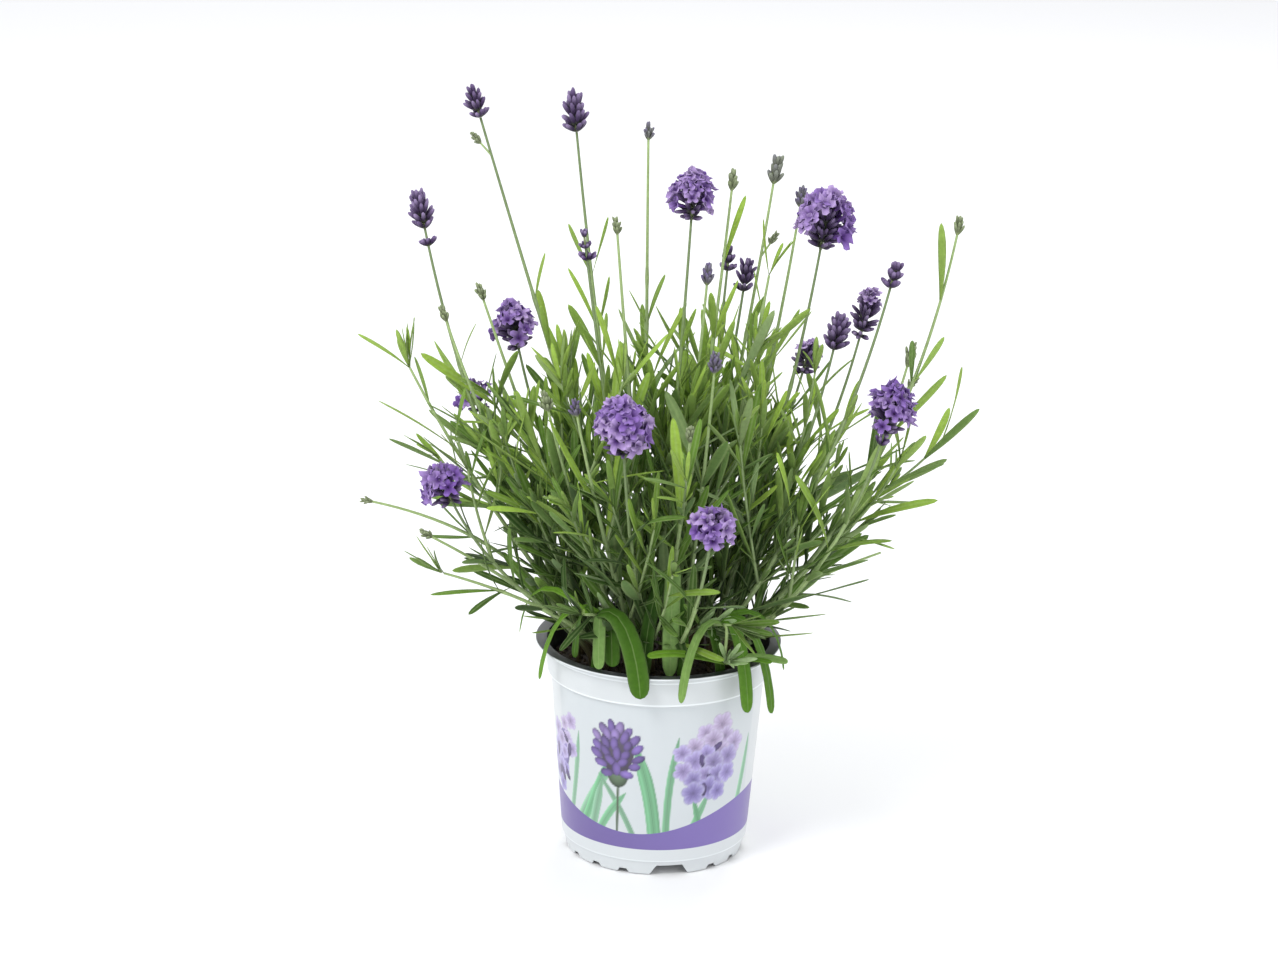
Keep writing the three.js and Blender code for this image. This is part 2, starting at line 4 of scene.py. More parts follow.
import bpy
import numpy as np
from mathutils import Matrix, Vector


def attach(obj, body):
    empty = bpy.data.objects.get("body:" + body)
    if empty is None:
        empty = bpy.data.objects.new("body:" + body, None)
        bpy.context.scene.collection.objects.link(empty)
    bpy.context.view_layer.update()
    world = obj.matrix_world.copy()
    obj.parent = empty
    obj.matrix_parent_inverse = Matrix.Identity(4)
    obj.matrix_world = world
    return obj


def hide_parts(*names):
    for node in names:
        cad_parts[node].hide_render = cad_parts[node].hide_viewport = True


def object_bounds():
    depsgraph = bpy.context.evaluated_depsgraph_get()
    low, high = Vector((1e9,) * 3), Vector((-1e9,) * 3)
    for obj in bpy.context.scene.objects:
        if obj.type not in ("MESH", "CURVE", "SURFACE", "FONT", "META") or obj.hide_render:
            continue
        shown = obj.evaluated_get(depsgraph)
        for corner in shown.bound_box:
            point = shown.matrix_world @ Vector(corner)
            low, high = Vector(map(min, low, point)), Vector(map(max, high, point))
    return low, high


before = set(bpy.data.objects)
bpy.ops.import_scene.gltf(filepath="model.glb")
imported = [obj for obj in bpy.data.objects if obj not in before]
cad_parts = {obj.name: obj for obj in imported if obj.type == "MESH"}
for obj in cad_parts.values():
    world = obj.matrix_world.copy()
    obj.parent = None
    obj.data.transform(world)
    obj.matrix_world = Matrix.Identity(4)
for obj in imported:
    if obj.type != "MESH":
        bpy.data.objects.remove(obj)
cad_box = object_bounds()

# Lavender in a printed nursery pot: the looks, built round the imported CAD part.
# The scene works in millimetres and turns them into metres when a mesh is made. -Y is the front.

MM = 0.001
SEED = 7
HEAD_SEEDS = 100  # the kinds of piece start their random draws at different seeds
BUD_STEM_SEEDS = 200
LEAFY_SHOOT_SEEDS = 400
PEAT_SEED = 900

# Pot, as in the CAD part
POT_HEIGHT = 116
LIP_RADIUS = 65
LIP_OVERHANG = 5
LIP_DEPTH = 1
SHOULDER_DROP = 5
SHOULDER_OUT = 0.4
COLLAR_HEIGHT = 17.6
COLLAR_TAPER = 1.5
STEP_IN = 2
STEP_SLOPE = 1
FOOT_RADIUS = 47
SKIRT_HEIGHT = 7.7
SKIRT_FLARE = 1.6
SKIRT_LEDGE = 0.9
WALL = 1.2
FLOOR_HEIGHT = 7
FLOOR_THICKNESS = 1.4
NOTCH_DEPTH = 5.4
WIDE_NOTCH = (20.5, 13.5)  # width at the foot and at the top
SMALL_NOTCH = (6.5, 4)
SMALL_NOTCH_DEPTH = 2.2
WIDE_NOTCHES = 3
SMALL_NOTCH_BEARINGS = (30, 50, 70, 90)
FIRST_NOTCH_BEARING = -80
DRAIN_HOLES = 6
DRAIN_HOLE_RADIUS = 4.5
DRAIN_RING_RADIUS = 33
SOIL_BELOW_RIM = 12
SOIL_TOP = POT_HEIGHT - SOIL_BELOW_RIM
COLLAR_TOP_RADIUS = LIP_RADIUS - LIP_OVERHANG
STEP_Z = POT_HEIGHT - COLLAR_HEIGHT
COLLAR_FOOT_RADIUS = COLLAR_TOP_RADIUS - COLLAR_TAPER
WALL_TOP_RADIUS = COLLAR_FOOT_RADIUS - STEP_IN
SKIRT_TOP_RADIUS = FOOT_RADIUS + SKIRT_FLARE
WALL_FOOT_RADIUS = SKIRT_TOP_RADIUS + SKIRT_LEDGE
MOUTH_RADIUS = COLLAR_TOP_RADIUS - WALL

# Stems, as in the CAD part: (tip x, y and height over the peat, bow, extras). A head is given by its length,
# width and kind, a bud by its length and how ripe it is. A pair of leaves, a fork and knots stand at shares of
# the stem, a collar this far under its tip, and an open view keeps leaves away this far in front of a head.
GAP = 0.3  # between the peat and a stem's foot
RISES_STRAIGHT = 14
RIM_CLEARANCE = 3
# Leaves that droop over the lip or into the pot: (share of the stem where it starts, tip, width, age)
RIGHT_DROOPING = [
    (0.85, (47, -55, 95), 9.8, 0.36),
    (0.80, (60, -42, 90), 9.8, 0.40),
    (0.90, (12, -70, 105), 4.6, 0.66),
    (0.75, (66, -25, 108), 5.6, 0.35),
    (0.60, (33, -44, 108), 7.0, 0.20),
]
# A knot of felted young leaves that hangs low over the lip, and its longer leaves: (tip, width, age)
KNOT = (34, -57, 123)
KNOT_LEAVES = [((67, -46, 121), 6.6, 0.62), ((-6, -63, 128), 5.6, 0.62), ((58, -66, 127), 4.6, 0.50)]
LEFT_DROOPING = [
    (0.85, (-9, -68, 106), 11.5, 0.22),
    (0.70, (-24, -56, 119), 9.0, 0.16),
    (0.80, (-31, -60, 119), 7.0, 0.34),
    (0.75, (-62, -36, 104), 6.0, 0.55),
    (0.90, (-44, -40, 118), 7.8, 0.25),
    (0.95, (-73, -20, 124), 4.6, 0.60),
    (0.60, (-33, -45, 109), 7.2, 0.15),
]
FRONT_DROOPING = [
    (0.45, (6, -53, 113), 8.8, 0.30),
    (0.35, (13, -49, 109), 7.6, 0.16),
    (0.40, (-8, -50, 109), 8.0, 0.06),
]
FLOWER_STEMS = [
    ((-126, 25, 225), -0.3, {"head": (21, 12, "bud"), "collar": 9}),
    ((-99, 55, 278), 0.0, {"head": (18, 11, "bud"), "pair": 0.86, "fork": 0.93}),
    ((-49, 75, 267), -0.1, {"head": (23, 13, "bud"), "pair": 0.72}),
    ((12, 20, 234), -0.2, {"head": (28, 24, "open")}),
    ((80, 35, 216), -0.25, {"head": (32, 32, "open")}),
    ((114, -15, 209), -0.3, {"head": (14, 13, "bud"), "pair": 0.8}),
    ((105, 82, 156), -0.3, {"head": (27, 16, "mixed"), "open_view": 60}),
    ((88, 20, 166), -0.3, {"head": (20, 14, "bud"), "open_view": 60}),
    ((74, 60, 142), -0.2, {"head": (17, 16, "mixed"), "open_view": 48}),
    ((113, -25, 134), -0.4, {"head": (29, 25, "open"), "collar": 6}),
    ((41, 60, 186), -0.2, {"head": (18, 11, "bud")}),
    ((33, 96, 188), -0.3, {"head": (14, 11, "bud")}),
    ((-42, 2, 222), 0.0, {"head": (10, 9, "bud"), "collar": 6}),
    ((-77, 40, 157), -0.2, {"head": (27, 23, "open")}),
    ((-99, 75, 112), -0.3, {"head": (18, 20, "open")}),
    ((-20, -70, 133), -0.3, {"head": (33, 29, "open")}),
    ((-108, -35, 96), -0.3, {"head": (22, 24, "open")}),
    ((24, -103, 99), -0.3, {"head": (21, 24, "open")}),
]
BUD_STEMS = [
    ((-11, 113, 256), -0.3, {"bud": 10, "ripe": 0.8}),
    ((33, 40, 246), -0.1, {"bud": 12, "pair": 0.84}),
    ((56, 80, 241), -0.1, {"bud": 16, "ripe": 0.6, "fork": 0.84}),
    ((71, 90, 226), -0.2, {"bud": 12, "ripe": 0.9}),
    ((149, 10, 232), -0.5, {"bud": 11, "pair": 0.86}),
    ((21, 20, 200), -0.1, {"bud": 12, "ripe": 1}),
    ((25, -35, 168), -0.2, {"bud": 12, "ripe": 1}),
    ((-26, 8, 229), 0.0, {"bud": 10}),
    ((-59, -45, 149), -0.1, {"bud": 12}),
    ((-151, -10, 87), 0.6, {"bud": 7, "pair": 0.62}),
    ((-113, -8, 185), -0.2, {"bud": 9}),
    ((-95, 14, 191), 0.0, {"bud": 10}),
    ((-118, -45, 80), 0.2, {"bud": 8}),
    ((128, 35, 154), -0.4, {"bud": 14, "fork": 0.9}),
    ((-44, -60, 151), -0.1, {"bud": 10, "ripe": 1}),
    ((13, -72, 142), -0.2, {"bud": 11, "drooping": FRONT_DROOPING}),
]
LEAFY_SHOOTS = [
    ((-131, -15, 161), -0.1, {}),
    ((54, 45, 199), -0.1, {}),
    ((119, 50, 45), 0.4, {}),
    ((-111, -50, 62), 0.3, {}),
    ((37, -58, 40), 0.5, {"drooping": RIGHT_DROOPING, "knots": (0.5, 0.72), "hangs": KNOT}),
    ((-39, -58, 44), 0.5, {"drooping": LEFT_DROOPING, "knots": (0.6,)}),
]

# Foliage
FRONT_VIEW = np.array([0, -0.954, 0.299])  # towards someone who looks at the plant from a little above
HEAD_CLEARANCE = 4
BARE_FOOT = 14
LEAFY_HEIGHT = 190
SIDE_SHOOT_CHANCE = 0.24
LEAF_LENGTH = 47
LEAF_WIDTH_SHARE = 0.108
NODE_PITCH = 20

# Colours, linear
LEAF_OLD = np.array([0.030, 0.080, 0.012])
LEAF_RIPE = np.array([0.125, 0.250, 0.030])
LEAF_YOUNG = np.array([0.370, 0.560, 0.075])
LEAF_FELT = np.array([0.270, 0.370, 0.190])
LEAF_RIM = np.array([0.500, 0.640, 0.280])
HANGING_TONE = np.array([0.95, 1.12, 0.70])
BARK = np.array([0.150, 0.120, 0.060])
STEM_GREEN = np.array([0.460, 0.600, 0.270])
STEM_GREY = np.array([0.260, 0.350, 0.170])
CALYX_DARK = np.array([0.030, 0.012, 0.055])
CALYX_MID = np.array([0.110, 0.060, 0.190])
CALYX_TIP = np.array([0.430, 0.330, 0.560])
PETAL_DEEP = np.array([0.100, 0.030, 0.230])
PETAL_MID = np.array([0.290, 0.150, 0.560])
PETAL_PALE = np.array([0.660, 0.500, 0.820])
BUD_GREEN = np.array([0.400, 0.490, 0.230])
BUD_LILAC = np.array([0.230, 0.165, 0.400])
POT_WHITE = np.array([0.640, 0.672, 0.685])
POT_BLACK = np.array([0.030, 0.032, 0.036])
PRINT_GROUND = np.array([0.585, 0.625, 0.645])
PRINT_BAND = np.array([0.178, 0.130, 0.372])
PRINT_MINT = np.array([0.130, 0.420, 0.190])
PRINT_BUD = np.array([0.150, 0.100, 0.300])
PRINT_LILAC = np.array([0.270, 0.220, 0.520])
PRINT_ROSE = np.array([0.520, 0.420, 0.620])
PRINT_DARK = np.array([0.060, 0.050, 0.075])


def mix(one, two, share):
    """Between two colours or arrays of them, by a share that may be an array too."""
    share = np.asarray(share, float)[..., None]
    return one * (1 - share) + two * share


def unit(vectors):
    return vectors / np.maximum(np.linalg.norm(vectors, axis=-1, keepdims=True), 1e-12)


def smooth(low, high, value):
    share = np.clip((value - low) / (high - low), 0, 1)
    return share * share * (3 - 2 * share)


def bearings(count):
    """Angles evenly round a circle."""
    return 2 * math.pi * np.arange(count) / count


def circle(radius, around, z):
    """Points round the pot's axis."""
    return np.stack([radius * np.cos(around), radius * np.sin(around), z * np.ones(len(around))], -1)


def square_to(way, helper=(0.0, -1.0, 0.0)):
    """Two directions square to a way and to each other, the first of them square to the helper too."""
    side = unit(np.cross(way, helper))
    return side, np.cross(way, side)


def turned(side, other, angle):
    """Directions between two others, for one angle or for an array of them."""
    return np.cos(angle)[..., None] * side + np.sin(angle)[..., None] * other


def between(along, walk, line):
    """Points at distances along a line of points."""
    return np.stack([np.interp(along, walk, line[:, i]) for i in range(3)], -1)


def bezier(corners, share):
    share = np.asarray(share, float)[..., None]
    rest = 1 - share
    one, two, three, four = corners
    return rest**3 * one + 3 * rest**2 * share * two + 3 * rest * share**2 * three + share**3 * four


# ---- Meshes


class Skin:
    """Closed skins gathered into one mesh, with a colour at every point."""

    def __init__(self):
        self.points, self.colours, self.corners, self.sizes = [], [], [], []
        self.count = 0

    def add(self, points, faces, colours):
        """points is (copies, n, 3); faces are blocks of corner numbers that each copy repeats."""
        copies, count, _ = points.shape
        shift = self.count + count * np.arange(copies)
        for block in faces:
            block = np.asarray(block)
            self.corners.append((block[None] + shift[:, None, None]).ravel())
            self.sizes.append(np.full(copies * len(block), block.shape[1]))
        self.points.append(points.reshape(-1, 3))
        self.colours.append(np.broadcast_to(colours, points.shape).reshape(-1, 3))
        self.count += copies * count

    def add_tubes(self, rings, colours, tips=None, tip_colours=None):
        """Tubes of rings, shape (copies, rings, sides, 3), closed flat or by a point at their end."""
        copies, count, sides, _ = rings.shape
        points = rings.reshape(copies, -1, 3)
        colours = np.broadcast_to(colours, rings.shape).reshape(copies, -1, 3)
        if tips is not None:
            points = np.concatenate([points, tips[:, None]], axis=1)
            colours = np.concatenate([colours, tip_colours[:, None]], axis=1)
        self.add(points, strip_faces(count, sides, tips is not None), colours)

    def make(self, name, material, sharp_angle=None):
        points = np.concatenate(self.points) * MM
        corners = np.concatenate(self.corners)
        sizes = np.concatenate(self.sizes)
        mesh = bpy.data.meshes.new(name)
        mesh.vertices.add(len(points))
        mesh.vertices.foreach_set("co", points.ravel().astype(np.float32))
        mesh.loops.add(len(corners))
        mesh.loops.foreach_set("vertex_index", corners.astype(np.int32))
        mesh.polygons.add(len(sizes))
        starts = np.concatenate([[0], np.cumsum(sizes)[:-1]])
        mesh.polygons.foreach_set("loop_start", starts.astype(np.int32))
        mesh.update(calc_edges=True)
        tint = mesh.color_attributes.new("tint", "FLOAT_COLOR", "POINT")
        rgba = np.ones((len(points), 4), np.float32)
        rgba[:, :3] = np.clip(np.concatenate(self.colours), 0, 1)
        tint.data.foreach_set("color", rgba.ravel())
        mesh.validate()
        mesh.shade_smooth()
        if sharp_angle is not None:
            mesh.set_sharp_from_angle(angle=sharp_angle)
        mesh.materials.append(material)
        return add_object(name, mesh)


def add_object(name, data):
    made = bpy.data.objects.new(name, data)
    bpy.context.scene.collection.objects.link(made)
    return made


def strip_faces(rings, sides, tip):
    """Faces of a tube of rings, closed flat at its start, and flat or by a last point at its end."""
    ring, side = np.meshgrid(np.arange(rings - 1), np.arange(sides), indexing="ij")
    here = ring * sides + side
    beside = ring * sides + (side + 1) % sides
    quads = np.stack([here, beside, beside + sides, here + sides], -1).reshape(-1, 4)
    start = np.arange(sides)[::-1][None]
    last = (rings - 1) * sides + np.arange(sides)
    if not tip:
        return [quads, start, last[None]]
    fan = np.stack([last, np.roll(last, -1), np.full(sides, rings * sides)], -1)
    return [quads, start, fan]


# ---- The plan of the plant

STEM_POINTS = 161


class Stem:
    """One stem's line, from its foot in the CAD part to its tip."""

    def __init__(self, node, tip, bow, extras):
        self.node = node
        self.extras = extras
        points = np.array([v.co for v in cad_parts[node].data.vertices]) / MM
        at_foot = np.abs(points[:, 2] - SOIL_TOP - GAP) < 0.05
        at_foot &= np.hypot(points[:, 0], points[:, 1]) < MOUTH_RADIUS - RIM_CLEARANCE
        foot = points[at_foot].mean(0)
        tip = np.array(tip, float) + [0, 0, SOIL_TOP]
        while not self.clears_rim(self.corners(foot, tip, bow)) and bow < 0.95:
            bow += 0.1
        line = bezier(self.corners(foot, tip, bow), np.linspace(0, 1, STEM_POINTS))
        self.walk = np.concatenate([[0], np.cumsum(np.linalg.norm(np.diff(line, axis=0), axis=1))])
        self.line = line
        self.length = self.walk[-1]
        self.tip = line[-1]
        self.height = self.tip[2] - SOIL_TOP
        self.upright = smooth(70, 150, self.height)  # stems that lie low carry less
        self.lean = unit(line[-1] - line[-2])

    @staticmethod
    def corners(foot, tip, bow):
        bend = foot + (tip - foot) * (1 - bow) / 2
        bend[2] = foot[2] + (tip[2] - foot[2]) * (1 + bow) / 2
        return foot, foot + np.array([0, 0, RISES_STRAIGHT]), bend, tip

    @staticmethod
    def clears_rim(corners):
        line = bezier(corners, np.linspace(0, 1, 41))
        out = np.hypot(line[:, 0], line[:, 1])
        in_lip = (out > MOUTH_RADIUS - RIM_CLEARANCE) & (out < LIP_RADIUS + RIM_CLEARANCE)
        return not np.any(in_lip & (line[:, 2] <= POT_HEIGHT + RIM_CLEARANCE))

    def at(self, along):
        """Points and tangents at distances along the stem."""
        ahead, behind = (between(along + step, self.walk, self.line) for step in (0.5, -0.5))
        return between(along, self.walk, self.line), unit(ahead - behind)


def plan_stems(rows, word):
    return [Stem(f"{word}_{i + 1:02d}", *row) for i, row in enumerate(rows)]


def head_places(stem):
    """Lines and radii of the capsules that leaves stay out of: the head, and an open view to its front."""
    long, wide, _ = stem.extras["head"]
    places = [(stem.tip, stem.tip + stem.lean * long, wide / 2)]
    for ahead in range(12, stem.extras.get("open_view", 0) + 1, 12):
        foot = stem.tip + ahead * FRONT_VIEW
        places.append((foot, foot + stem.lean * long, wide / 2 - HEAD_CLEARANCE))
    return places


# ---- Leaves

# The section of a blade: across from the midrib, and height above the blade's plane, against half the
# width. The upper side is first, from one rim to the other, and then the underside. The stations are
# shares of the length, and the widths are shares of the leaf's width there.
LeafShape = collections.namedtuple("LeafShape", "section stations widths")
BROAD_LEAF = LeafShape(
    np.array(
        [(1, -0.16), (0.84, -0.05), (0.42, 0.04), (0, -0.05), (-0.42, 0.04), (-0.84, -0.05), (-1, -0.16)]
        + [(-0.5, -0.2), (0, -0.32), (0.5, -0.2)]
    ),
    np.array([0, 0.07, 0.18, 0.32, 0.47, 0.62, 0.76, 0.88, 0.96]),
    np.array([0.30, 0.38, 0.58, 0.80, 0.95, 1.0, 0.95, 0.76, 0.46]),
)
NARROW_LEAF = LeafShape(
    np.array([(1, -0.15), (0.5, 0.05), (0, -0.06), (-0.5, 0.05), (-1, -0.15), (0, -0.36)]),
    np.array([0, 0.2, 0.45, 0.7, 0.88, 0.96]),
    np.array([0.35, 0.65, 0.95, 1.0, 0.74, 0.42]),
)
DROOPING_LEAF = LeafShape(
    np.array(
        [(1, -0.16), (0.84, -0.05), (0.42, 0.04), (0.09, -0.01), (0, -0.05), (-0.09, -0.01)]
        + [(-0.42, 0.04), (-0.84, -0.05), (-1, -0.16), (-0.5, -0.2), (0, -0.32), (0.5, -0.2)]
    ),
    np.array([0, 0.07, 0.18, 0.32, 0.47, 0.62, 0.76, 0.88, 0.94, 0.97, 0.99]),
    np.array([0.42, 0.60, 0.80, 0.92, 0.98, 1.0, 1.0, 0.97, 0.86, 0.68, 0.42]),
)
BOX = np.array(cad_box) / MM
BOX_MARGIN = 8
WALL_CLEARANCE = 1.5


def leaf_row(base, tangent, out, sizes, tint):
    """One planned leaf; its sizes are length, width, rise, bend and twist."""
    return (*base, *tangent, *out, *sizes, *tint)


def leaf_spines(rows, stations):
    """Spines, frames, widths and tints of planned leaves: they leave at an angle and bend as they go."""
    base, tangent, out = rows[:, 0:3], rows[:, 3:6], rows[:, 6:9]
    length, width, rise, bend, twist = rows[:, 9:14].T
    angle = rise[:, None] + bend[:, None] * stations
    way = turned(tangent[:, None], out[:, None], angle)
    face = np.sin(angle)[..., None] * tangent[:, None] - np.cos(angle)[..., None] * out[:, None]
    side = np.cross(tangent, out)[:, None]
    step = np.diff(stations)[None, :, None] * length[:, None, None]
    walk = np.cumsum((way[:, 1:] + way[:, :-1]) / 2 * step, axis=1)
    spine = base[:, None] + np.concatenate([np.zeros((len(rows), 1, 3)), walk], axis=1)
    turn = twist[:, None] * stations
    upper = np.cos(turn)[..., None] * face - np.sin(turn)[..., None] * side
    return spine, turned(side, face, turn), upper, width, rows[:, 14:17]


def stays_clear(spine, heads):
    """True for each spine that keeps out of the pot's lip and wall, the peat and the flower heads."""
    out = np.hypot(spine[..., 0], spine[..., 1])
    z = spine[..., 2]
    inner, outer = MOUTH_RADIUS - WALL_CLEARANCE, LIP_RADIUS + WALL_CLEARANCE
    in_wall = (out > inner) & (out < outer) & (z < POT_HEIGHT + WALL_CLEARANCE)
    in_soil = (out <= inner) & (z < SOIL_TOP + 1)
    below = (out >= outer) & (z < POT_HEIGHT + 0.6 * (out - outer))
    fine = ~np.any(in_wall | in_soil | below, axis=-1)
    fine &= np.all((spine > BOX[0] - BOX_MARGIN) & (spine < BOX[1] + BOX_MARGIN), axis=(-2, -1))
    for start, end, radius in heads:
        line = end - start
        share = np.clip(((spine - start) @ line) / (line @ line), 0, 1)
        near = np.linalg.norm(spine - start - share[..., None] * line, axis=-1)
        fine &= ~np.any(near[..., 2:] < radius + HEAD_CLEARANCE, axis=-1)
    return fine


def build_blades(skin, spine, across, upper, width, tint, shape, felt=1.0):
    """Closed blades over spines of shape (leaves, stations and a tip, 3)."""
    tip = spine[:, -1]
    spine, across, upper = (a[:, :-1, None] for a in (spine, across, upper))
    half = (width[:, None] * shape.widths)[..., None, None] / 2
    out, up = shape.section.T
    ring = spine + half * (out[:, None] * across + up[:, None] * upper)
    rim = np.clip((np.abs(out) - 0.8) / 0.2, 0, 1)
    under = up < -0.17
    midrib = (np.abs(out) < 0.01) & ~under
    along = np.linspace(0, 1, len(shape.widths))[:, None, None]
    colour = tint[:, None, None] * (0.80 + 0.30 * along)
    colour = mix(colour, LEAF_FELT, 0.30 * felt * under)
    colour = mix(colour, LEAF_RIM, 0.45 * felt * rim)
    colour = mix(colour, LEAF_RIM, 0.26 * midrib)
    skin.add_tubes(ring, colour, tip, tint * 1.05)


def build_leaves(skin, rows, heads, shape):
    if not rows:
        return
    spines = leaf_spines(np.array(rows), np.append(shape.stations, 1.0))
    keep = stays_clear(spines[0], heads)
    if keep.any():
        build_blades(skin, *(part[keep] for part in spines), shape)


def leaf_tint(point, size, rng, shade=0.0):
    """Dark below and inside, yellow-green above and outside: partly the leaves' age, partly painted shade low
    in the bush and painted light on its top and outside; and a few felted grey leaves.
    """
    outside = smooth(55, 120, math.hypot(point[0], point[1]))
    height = point[2] + 0.4 * size - SOIL_TOP
    # age here also carries painted light and shade: higher and outer leaves lighter, lower and inner ones
    # darker; a positive shade argument darkens a leaf further as painted shade, a negative one lightens it
    age = np.clip(height / 210 + 0.12 + 0.16 * outside + rng.normal(0, 0.25) - shade, 0, 1)
    return mix(aged(age, rng), LEAF_FELT, 0.35 * outside * rng.random())


def aged(age, rng):
    """From dark green to yellow-green with youth, and now and then felted."""
    young = mix(LEAF_RIPE, LEAF_YOUNG, age * 2 - 1)
    tint = mix(LEAF_OLD, LEAF_RIPE, min(age * 2, 1)) if age < 0.5 else young
    if rng.random() < 0.12:
        tint = mix(tint, LEAF_FELT, rng.uniform(0.3, 0.8))
    return tint * rng.uniform(0.85, 1.15)


def pair_of_leaves(plan, point, tangent, angle, length, rise, bend, rng, shade=0.0, slim=1.0):
    side, other = square_to(tangent)
    thinned = 0.3 * smooth(55, 100, math.hypot(point[0], point[1]))
    for way in (0, math.pi):
        size = length * rng.uniform(0.62, 1.18)
        if rng.random() < thinned:
            continue
        out = turned(side, other, angle + way + rng.normal(0, 0.34))
        width = slim * size * LEAF_WIDTH_SHARE * rng.uniform(0.85, 1.15) + 0.4
        bends = rise * rng.uniform(0.5, 1.25), bend * rng.uniform(-0.5, 1.7), rng.normal(0, 0.5)
        tint = leaf_tint(point, size, rng, shade)
        plan.append(leaf_row(point, tangent, out, (size, width, *bends), tint))


def tuft(plan, point, tangent, angle, count, length, rng, shade=0.0, felted=0.0):
    """Small leaves crowded where a leaf joins its stem, or at the end of a shoot."""
    side, other = square_to(tangent)
    for _ in range(count):
        size = length * rng.uniform(0.6, 1.2)
        base = point + tangent * rng.uniform(0, 2)
        out = turned(side, other, angle + rng.normal(0, 0.6))
        rise, bend = (math.radians(rng.uniform(*ends)) for ends in ((8, 38), (-10, 25)))
        sizes = size, size * 0.12 + 0.5, rise, bend, rng.normal(0, 0.4)
        tint = mix(leaf_tint(point, 30, rng, shade), LEAF_FELT * 1.7, felted * rng.uniform(0.6, 1.0))
        plan.append(leaf_row(base, tangent, out, sizes, tint))


def side_shoot(skin, broad, narrow, point, tangent, angle, length, rng, shade):
    """A leafy branch that leaves its stem and rises beside it."""
    out = turned(*square_to(tangent), angle)
    lean = rng.uniform(0.35, 0.75)
    start = unit(tangent * math.cos(lean) + out * math.sin(lean))
    end = unit(0.8 * start + np.array([0, 0, rng.uniform(0.3, 1.1)]))
    share = np.linspace(0, 1, 13)
    line = point + length * (share[:, None] * start + share[:, None] ** 2 * (end - start) / 2)
    if not stays_clear(line[None, 2:], [])[0]:
        return
    twig(skin, line, 0.95, 0.55, mix(STEM_GREY, STEM_GREEN, rng.uniform(0.2, 1.0)))
    ways = unit(np.gradient(line, axis=0))
    pairs = max(int(length / 14), 2)
    for k in range(pairs):
        at = (k + 1) / (pairs + 0.4)
        here = between(at, share, line)
        way = unit(between(at, share, ways))
        size = LEAF_LENGTH * rng.uniform(0.62, 0.95)
        steep = math.radians(rng.uniform(20, 42))
        turn = angle + k * math.pi / 2
        pair_of_leaves(broad, here, way, turn, size, steep, 0.22, rng, shade - 0.1, 0.92)
        if rng.random() < 0.35:
            tuft(narrow, here, way, turn, 2, 15, rng, shade - 0.1)
    tuft(narrow, line[-1], ways[-1], rng.uniform(0, 6), 4, 22, rng, shade - 0.2)


# ---- Stems


def build_stem_tube(skin, line, radius, colours):
    """A square stem with rounded corners."""
    side, other = square_to(unit(np.gradient(line, axis=0)))
    angle = bearings(8)
    corner = np.where(np.arange(8) % 2 == 0, 1.0, 0.84)
    reach = radius[:, None] * corner
    ring = (
        line[:, None]
        + (reach * np.cos(angle))[..., None] * side[:, None]
        + (reach * np.sin(angle))[..., None] * other[:, None]
    )
    shades = colours[:, None] * np.where(corner < 1, 0.86, 1.08)[None, :, None]
    skin.add_tubes(ring[None], shades)


def twig(skin, line, thick, thin, tone):
    """A stem tube in one tone that tapers evenly."""
    build_stem_tube(skin, line, np.linspace(thick, thin, len(line)), np.broadcast_to(tone, line.shape))


def straight_twig(skin, base, way, length, steps, thick, thin, tone):
    """A straight one; its end is given back."""
    line = base + np.linspace(0, length, steps)[:, None] * way
    twig(skin, line, thick, thin, tone)
    return line[-1]


def main_stem(skin, stem, nodes, rng):
    """From its woody foot in the peat up to the flower, a little swollen where the leaves stand."""
    steps = max(int(stem.length / 6), 12)
    along = np.linspace(0, stem.length, steps)
    line, _ = stem.at(along)
    line[0, 2] -= 4
    share = along / stem.length
    radius = 1.5 - 0.85 * share**0.9
    for node in nodes:
        radius = radius + 0.35 * np.exp(-(((along - node) / 2.5) ** 2))
    woody = 1 - smooth(8, 30, along)
    upper = STEM_GREY if "head" in stem.extras else STEM_GREEN
    fresh = mix(STEM_GREY, STEM_GREEN, rng.uniform(0.5, 1.0))
    colour = mix(np.broadcast_to(fresh, (steps, 3)), upper, smooth(0.55, 0.95, share))
    colour = mix(colour, BARK, woody)
    build_stem_tube(skin, line, radius, colour)


def leafy_part(stem, rng):
    """Distances along the stem where its pairs of leaves stand, wider apart as it rises."""
    top = min(LEAFY_HEIGHT / stem.height, 1) * stem.length
    if "head" in stem.extras or "bud" in stem.extras:
        top = min(top, 0.74 * stem.length)
    crowding = 1.4 - 0.4 * stem.upright
    nodes = []
    at = BARE_FOOT + rng.uniform(-2, 4)
    while at < top - 2:
        nodes.append(at)
        at += NODE_PITCH * crowding * (0.8 + 0.5 * at / LEAFY_HEIGHT) * rng.uniform(0.75, 1.25)
    return np.array(nodes)


